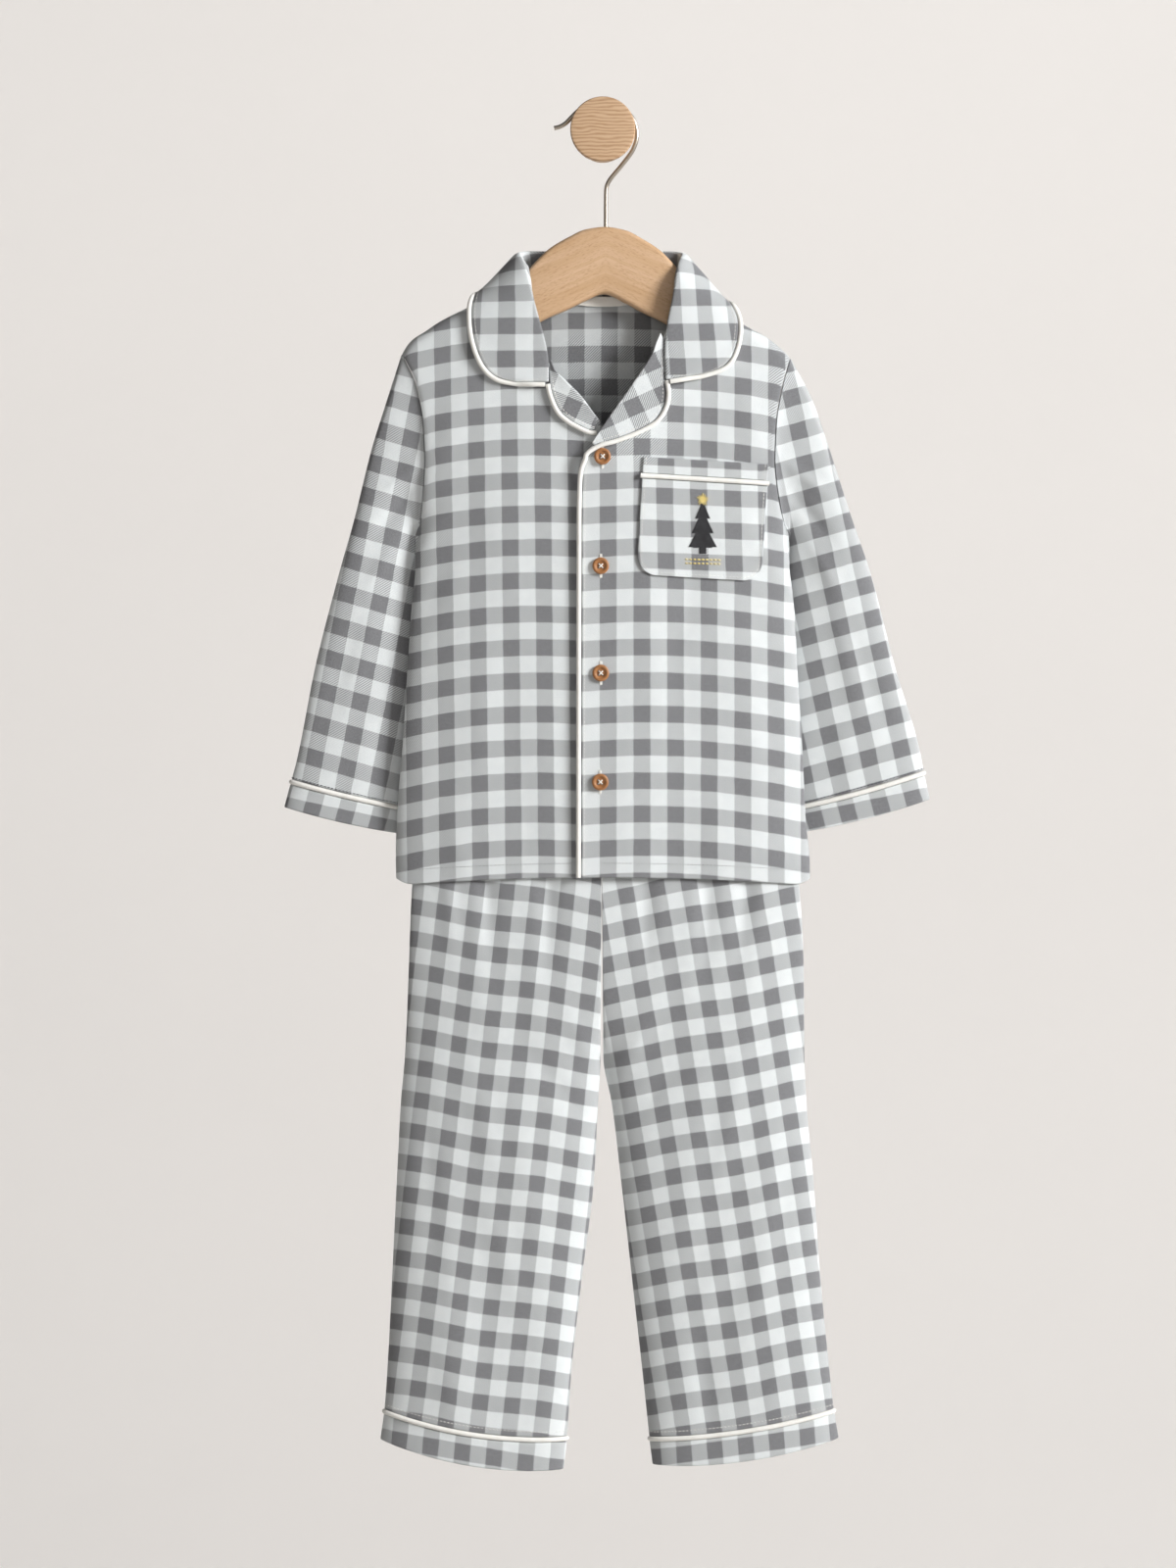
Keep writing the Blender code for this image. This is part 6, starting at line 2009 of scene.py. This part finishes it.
def make_studio():
    """Seamless paper all round, soft lights and the camera."""
    scene = bpy.context.scene
    stage = scene.pyjama_stage
    radius, curve = stage.room_radius, FLOOR_CURVE
    profile = [(0.0, FLOOR_Z)]
    for i in range(13):
        angle = i * math.pi / 24
        profile.append((radius - curve + curve * math.sin(angle), FLOOR_Z + curve * (1 - math.cos(angle))))
    profile.append((radius, FLOOR_Z + ROOM_HEIGHT))
    vertices, faces = [], []
    count = 96
    for i, (reach, z) in enumerate(profile):
        for j in range(count):
            angle = j / count * 2 * math.pi
            vertices.append(Vector((reach * math.cos(angle), reach * math.sin(angle), z)) / MM)
        if i:
            faces += round_band((i - 1) * count, count)
    paper = mesh_object("studio_paper", vertices, faces, finish_of(studio_paper))
    solid = bmesh.new()
    solid.from_mesh(paper.data)
    bmesh.ops.remove_doubles(solid, verts=solid.verts, dist=WELD * MM)
    solid.to_mesh(paper.data)
    solid.free()
    on_set, on_paper = (0, -0.03, -0.5), (1.2, radius, 0)
    for name, place, aim, size, power in (
        ("key light", (3.2, -2.0, 0.9), on_set, 1.2, stage.key_power),
        ("fill light", (0.6, -5.5, 0.6), on_set, 2.0, stage.fill_power),
        ("back light", (0.8, 4.0, 1.4), on_set, 2.6, stage.back_power),
        ("paper light", (1.2, 3.4, 3.2), on_paper, 4.0, stage.paper_power),
    ):
        light = bpy.data.lights.new(name, "AREA")
        light.shape = "SQUARE"
        light.size, light.energy = size, power
        lamp = placed(name, light)
        lamp.location = place
        lamp.rotation_euler = (Vector(aim) - lamp.location).to_track_quat("-Z", "Y").to_euler()
        lamp.visible_camera = False
    scene.world = bpy.data.worlds.new("studio air")
    scene.world.use_nodes = True
    join(scene.world.node_tree.nodes["Background"], {"Color": stage.air, "Strength": stage.air_strength})
    lens = bpy.data.cameras.new("camera")
    lens.lens = LENS_PER_METRE * stage.camera_distance
    lens.clip_end = 60
    scene.camera = placed("camera", lens)
    scene.camera.location = (FRAME_X, CLOTH_FRONT_Y - stage.camera_distance, FRAME_Z)
    scene.camera.rotation_euler = (math.pi / 2, 0, 0)
    scene.view_settings.view_transform = "Standard"


# ---- Add-on ----


def colour_of(name, description, value):
    return bpy.props.FloatVectorProperty(
        name=name, description=description, size=4, subtype="COLOR", min=0, max=1, default=linear(value),
    )


def size_of(name, description, millimetres):
    return number_of(name, description, millimetres * MM, "LENGTH", precision=5)


def number_of(name, description, value, unit="NONE", **limits):
    limits = {"min": 0.0, **limits}
    return bpy.props.FloatProperty(name=name, description=description, default=value, unit=unit, **limits)


class PyjamaCloth(bpy.types.PropertyGroup):
    """Flannel of the jacket and the trousers."""

    square: size_of("Check square", "Side of one square of the check", 12.75)
    twill: size_of("Twill line", "Spacing of the drawn twill lines", 2.1)
    pale: colour_of("Pale yarn", "Undyed yarn", "#e0e4e4")
    pale_shade: colour_of("Pale yarn, shaded", "Undyed yarn between its fibres", "#d0d5d7")
    grey: colour_of("Grey yarn", "Dyed yarn", "#646567")
    grey_light: colour_of("Grey yarn, brushed", "Dyed yarn in its nap", "#8d8e91")


class PyjamaTrim(bpy.types.PropertyGroup):
    """Piping, tape, threads, buttons and wire."""

    piping: colour_of("Piping", "Cotton of the piping", "#f3f2ee")
    piping_shade: colour_of("Piping, shaded", "Piping between its threads", "#e6e4dd")
    tape: colour_of("Neck tape", "Tape inside the neck", "#ecebe6")
    thread: colour_of("Pale thread", "Topstitching and button thread", "#eeece6")
    dark_thread: colour_of("Grey thread", "Thread of cuffs and hems", "#4c4d52")
    button: colour_of("Button", "Wood of the buttons", "#ab7748")
    button_dark: colour_of("Button streaks", "Streaks of the buttons", "#8a5a35")
    wire: colour_of("Hook wire", "Plated wire", "#c2b9ab")
    wire_dark: colour_of("Hook wire, worn", "Rubbed wire", "#aaa196")
    motif: colour_of("Motif", "Thread of the fir", "#2a2a2c")
    motif_light: colour_of("Motif, lit", "Thread of the fir in light", "#3d3d40")
    gold: colour_of("Gold thread", "Thread of the star and rows", "#f0e2a0")
    gold_dark: colour_of("Gold thread, shaded", "Gold thread between its turns", "#cdb566")
    stitch_pitch: size_of("Stitch pitch", "From one stitch to the next", 2.9)
    stitch_length: size_of("Stitch length", "Visible length of a stitch", 2.1)
    stitch_thickness: size_of("Stitch thickness", "Thickness of the thread", 0.45)


class PyjamaWood(bpy.types.PropertyGroup):
    """Wood of the hanger and the peg."""

    beech: colour_of("Beech", "Lacquered beech", "#d4b392")
    beech_grain: colour_of("Beech growth lines", "Growth lines of the beech", "#c09b73")
    beech_fleck: colour_of("Beech flecks", "Ray flecks of the beech", "#a57c55")
    peg: colour_of("Peg", "Oiled wood of the peg", "#c9a988")
    peg_grain: colour_of("Peg growth lines", "Growth lines of the peg", "#a8835f")


class PyjamaStage(bpy.types.PropertyGroup):
    """Studio round the set."""

    paper: colour_of("Paper", "Background paper", "#f4f1ee")
    air: colour_of("Air", "Light from all round", "#f4f3f2")
    air_strength: number_of("Air strength", "Light from all round", 0.135)
    key_power: number_of("Key light", "Right, raking", 215, "POWER")
    fill_power: number_of("Fill light", "From the front", 15, "POWER")
    back_power: number_of("Back light", "Behind", 25, "POWER")
    paper_power: number_of("Paper light", "On the paper behind", 205, "POWER")
    room_radius: number_of("Room radius", "Set to paper", 9.0, "LENGTH", min=7.0)
    camera_distance: number_of("Camera distance", "Camera to cloth", 4.5, "LENGTH", min=1.0)


class PYJAMA_OT_jacket_body(bpy.types.Operator):
    """Make the jacket's back and both fronts"""

    bl_idname = "pyjama.jacket_body"
    bl_label = "Jacket Body"

    def execute(self, context):
        make_back()
        make_fronts()
        return {"FINISHED"}


class PYJAMA_OT_sleeves(bpy.types.Operator):
    """Make both sleeves and their cuff bands"""

    bl_idname = "pyjama.sleeves"
    bl_label = "Sleeves"

    def execute(self, context):
        make_sleeves()
        return {"FINISHED"}


class PYJAMA_OT_collar(bpy.types.Operator):
    """Make the collar and the neck tape inside it"""

    bl_idname = "pyjama.collar"
    bl_label = "Collar and Neck Tape"

    def execute(self, context):
        make_collar()
        make_neck_tape()
        return {"FINISHED"}


class PYJAMA_OT_lapels(bpy.types.Operator):
    """Make both lapel facings"""

    bl_idname = "pyjama.lapels"
    bl_label = "Lapels"

    def execute(self, context):
        make_lapels()
        return {"FINISHED"}


class PYJAMA_OT_pocket(bpy.types.Operator):
    """Make the pocket bag, its band and its embroidery"""

    bl_idname = "pyjama.pocket"
    bl_label = "Pocket"

    def execute(self, context):
        make_pocket()
        make_motif()
        return {"FINISHED"}


class PYJAMA_OT_trousers(bpy.types.Operator):
    """Make the waistband, the four leg panels and the hem bands"""

    bl_idname = "pyjama.trousers"
    bl_label = "Trousers"

    def execute(self, context):
        make_waistband()
        make_trousers()
        return {"FINISHED"}


class PYJAMA_OT_piping(bpy.types.Operator):
    """Make every run of piping"""

    bl_idname = "pyjama.piping"
    bl_label = "Piping"

    def execute(self, context):
        make_piping()
        return {"FINISHED"}


class PYJAMA_OT_stitching(bpy.types.Operator):
    """Make the rows of stitches"""

    bl_idname = "pyjama.stitching"
    bl_label = "Stitching"

    def execute(self, context):
        stitch_collar()
        stitch_fronts()
        stitch_pocket()
        stitch_bands()
        return {"FINISHED"}


class PYJAMA_OT_buttons(bpy.types.Operator):
    """Make the buttons, their thread and the buttonholes"""

    bl_idname = "pyjama.buttons"
    bl_label = "Buttons"

    def execute(self, context):
        make_buttons()
        return {"FINISHED"}


class PYJAMA_OT_hanger(bpy.types.Operator):
    """Make the hanger board and its hook"""

    bl_idname = "pyjama.hanger"
    bl_label = "Hanger and Hook"

    def execute(self, context):
        make_hanger()
        make_hook()
        return {"FINISHED"}


class PYJAMA_OT_peg(bpy.types.Operator):
    """Make the turned wall peg"""

    bl_idname = "pyjama.peg"
    bl_label = "Wall Peg"

    def execute(self, context):
        make_peg()
        return {"FINISHED"}


class PYJAMA_OT_studio(bpy.types.Operator):
    """Make the seamless paper, the lights and the camera"""

    bl_idname = "pyjama.studio"
    bl_label = "Studio"

    def execute(self, context):
        make_studio()
        return {"FINISHED"}


class PYJAMA_PT_panel(bpy.types.Panel):
    """Pieces of the pyjama set"""

    bl_idname = "PYJAMA_PT_panel"
    bl_label = "Pyjama Set"
    bl_space_type = "VIEW_3D"
    bl_region_type = "UI"
    bl_category = "Pyjamas"

    def draw(self, context):
        layout = self.layout
        for operator in OPERATORS:
            layout.operator(operator.bl_idname)
        for group in GROUPS:
            box = layout.box()
            values = getattr(context.scene, group)
            for name in values.__annotations__:
                box.prop(values, name)


OPERATORS = (
    PYJAMA_OT_studio, PYJAMA_OT_jacket_body, PYJAMA_OT_sleeves, PYJAMA_OT_collar, PYJAMA_OT_lapels,
    PYJAMA_OT_pocket, PYJAMA_OT_trousers, PYJAMA_OT_piping, PYJAMA_OT_stitching, PYJAMA_OT_buttons,
    PYJAMA_OT_hanger, PYJAMA_OT_peg,
)
GROUPS = {
    "pyjama_cloth": PyjamaCloth, "pyjama_trim": PyjamaTrim,
    "pyjama_wood": PyjamaWood, "pyjama_stage": PyjamaStage,
}
CLASSES = (*GROUPS.values(), *OPERATORS, PYJAMA_PT_panel)


def register():
    for cls in CLASSES:
        bpy.utils.register_class(cls)
    for name, group in GROUPS.items():
        setattr(bpy.types.Scene, name, bpy.props.PointerProperty(type=group))


def unregister():
    for name in GROUPS:
        delattr(bpy.types.Scene, name)
    for cls in reversed(CLASSES):
        bpy.utils.unregister_class(cls)


def main():
    register()
    for operator in OPERATORS:
        group, name = operator.bl_idname.split(".")
        getattr(getattr(bpy.ops, group), name)()


if __name__ == "__main__":
    main()
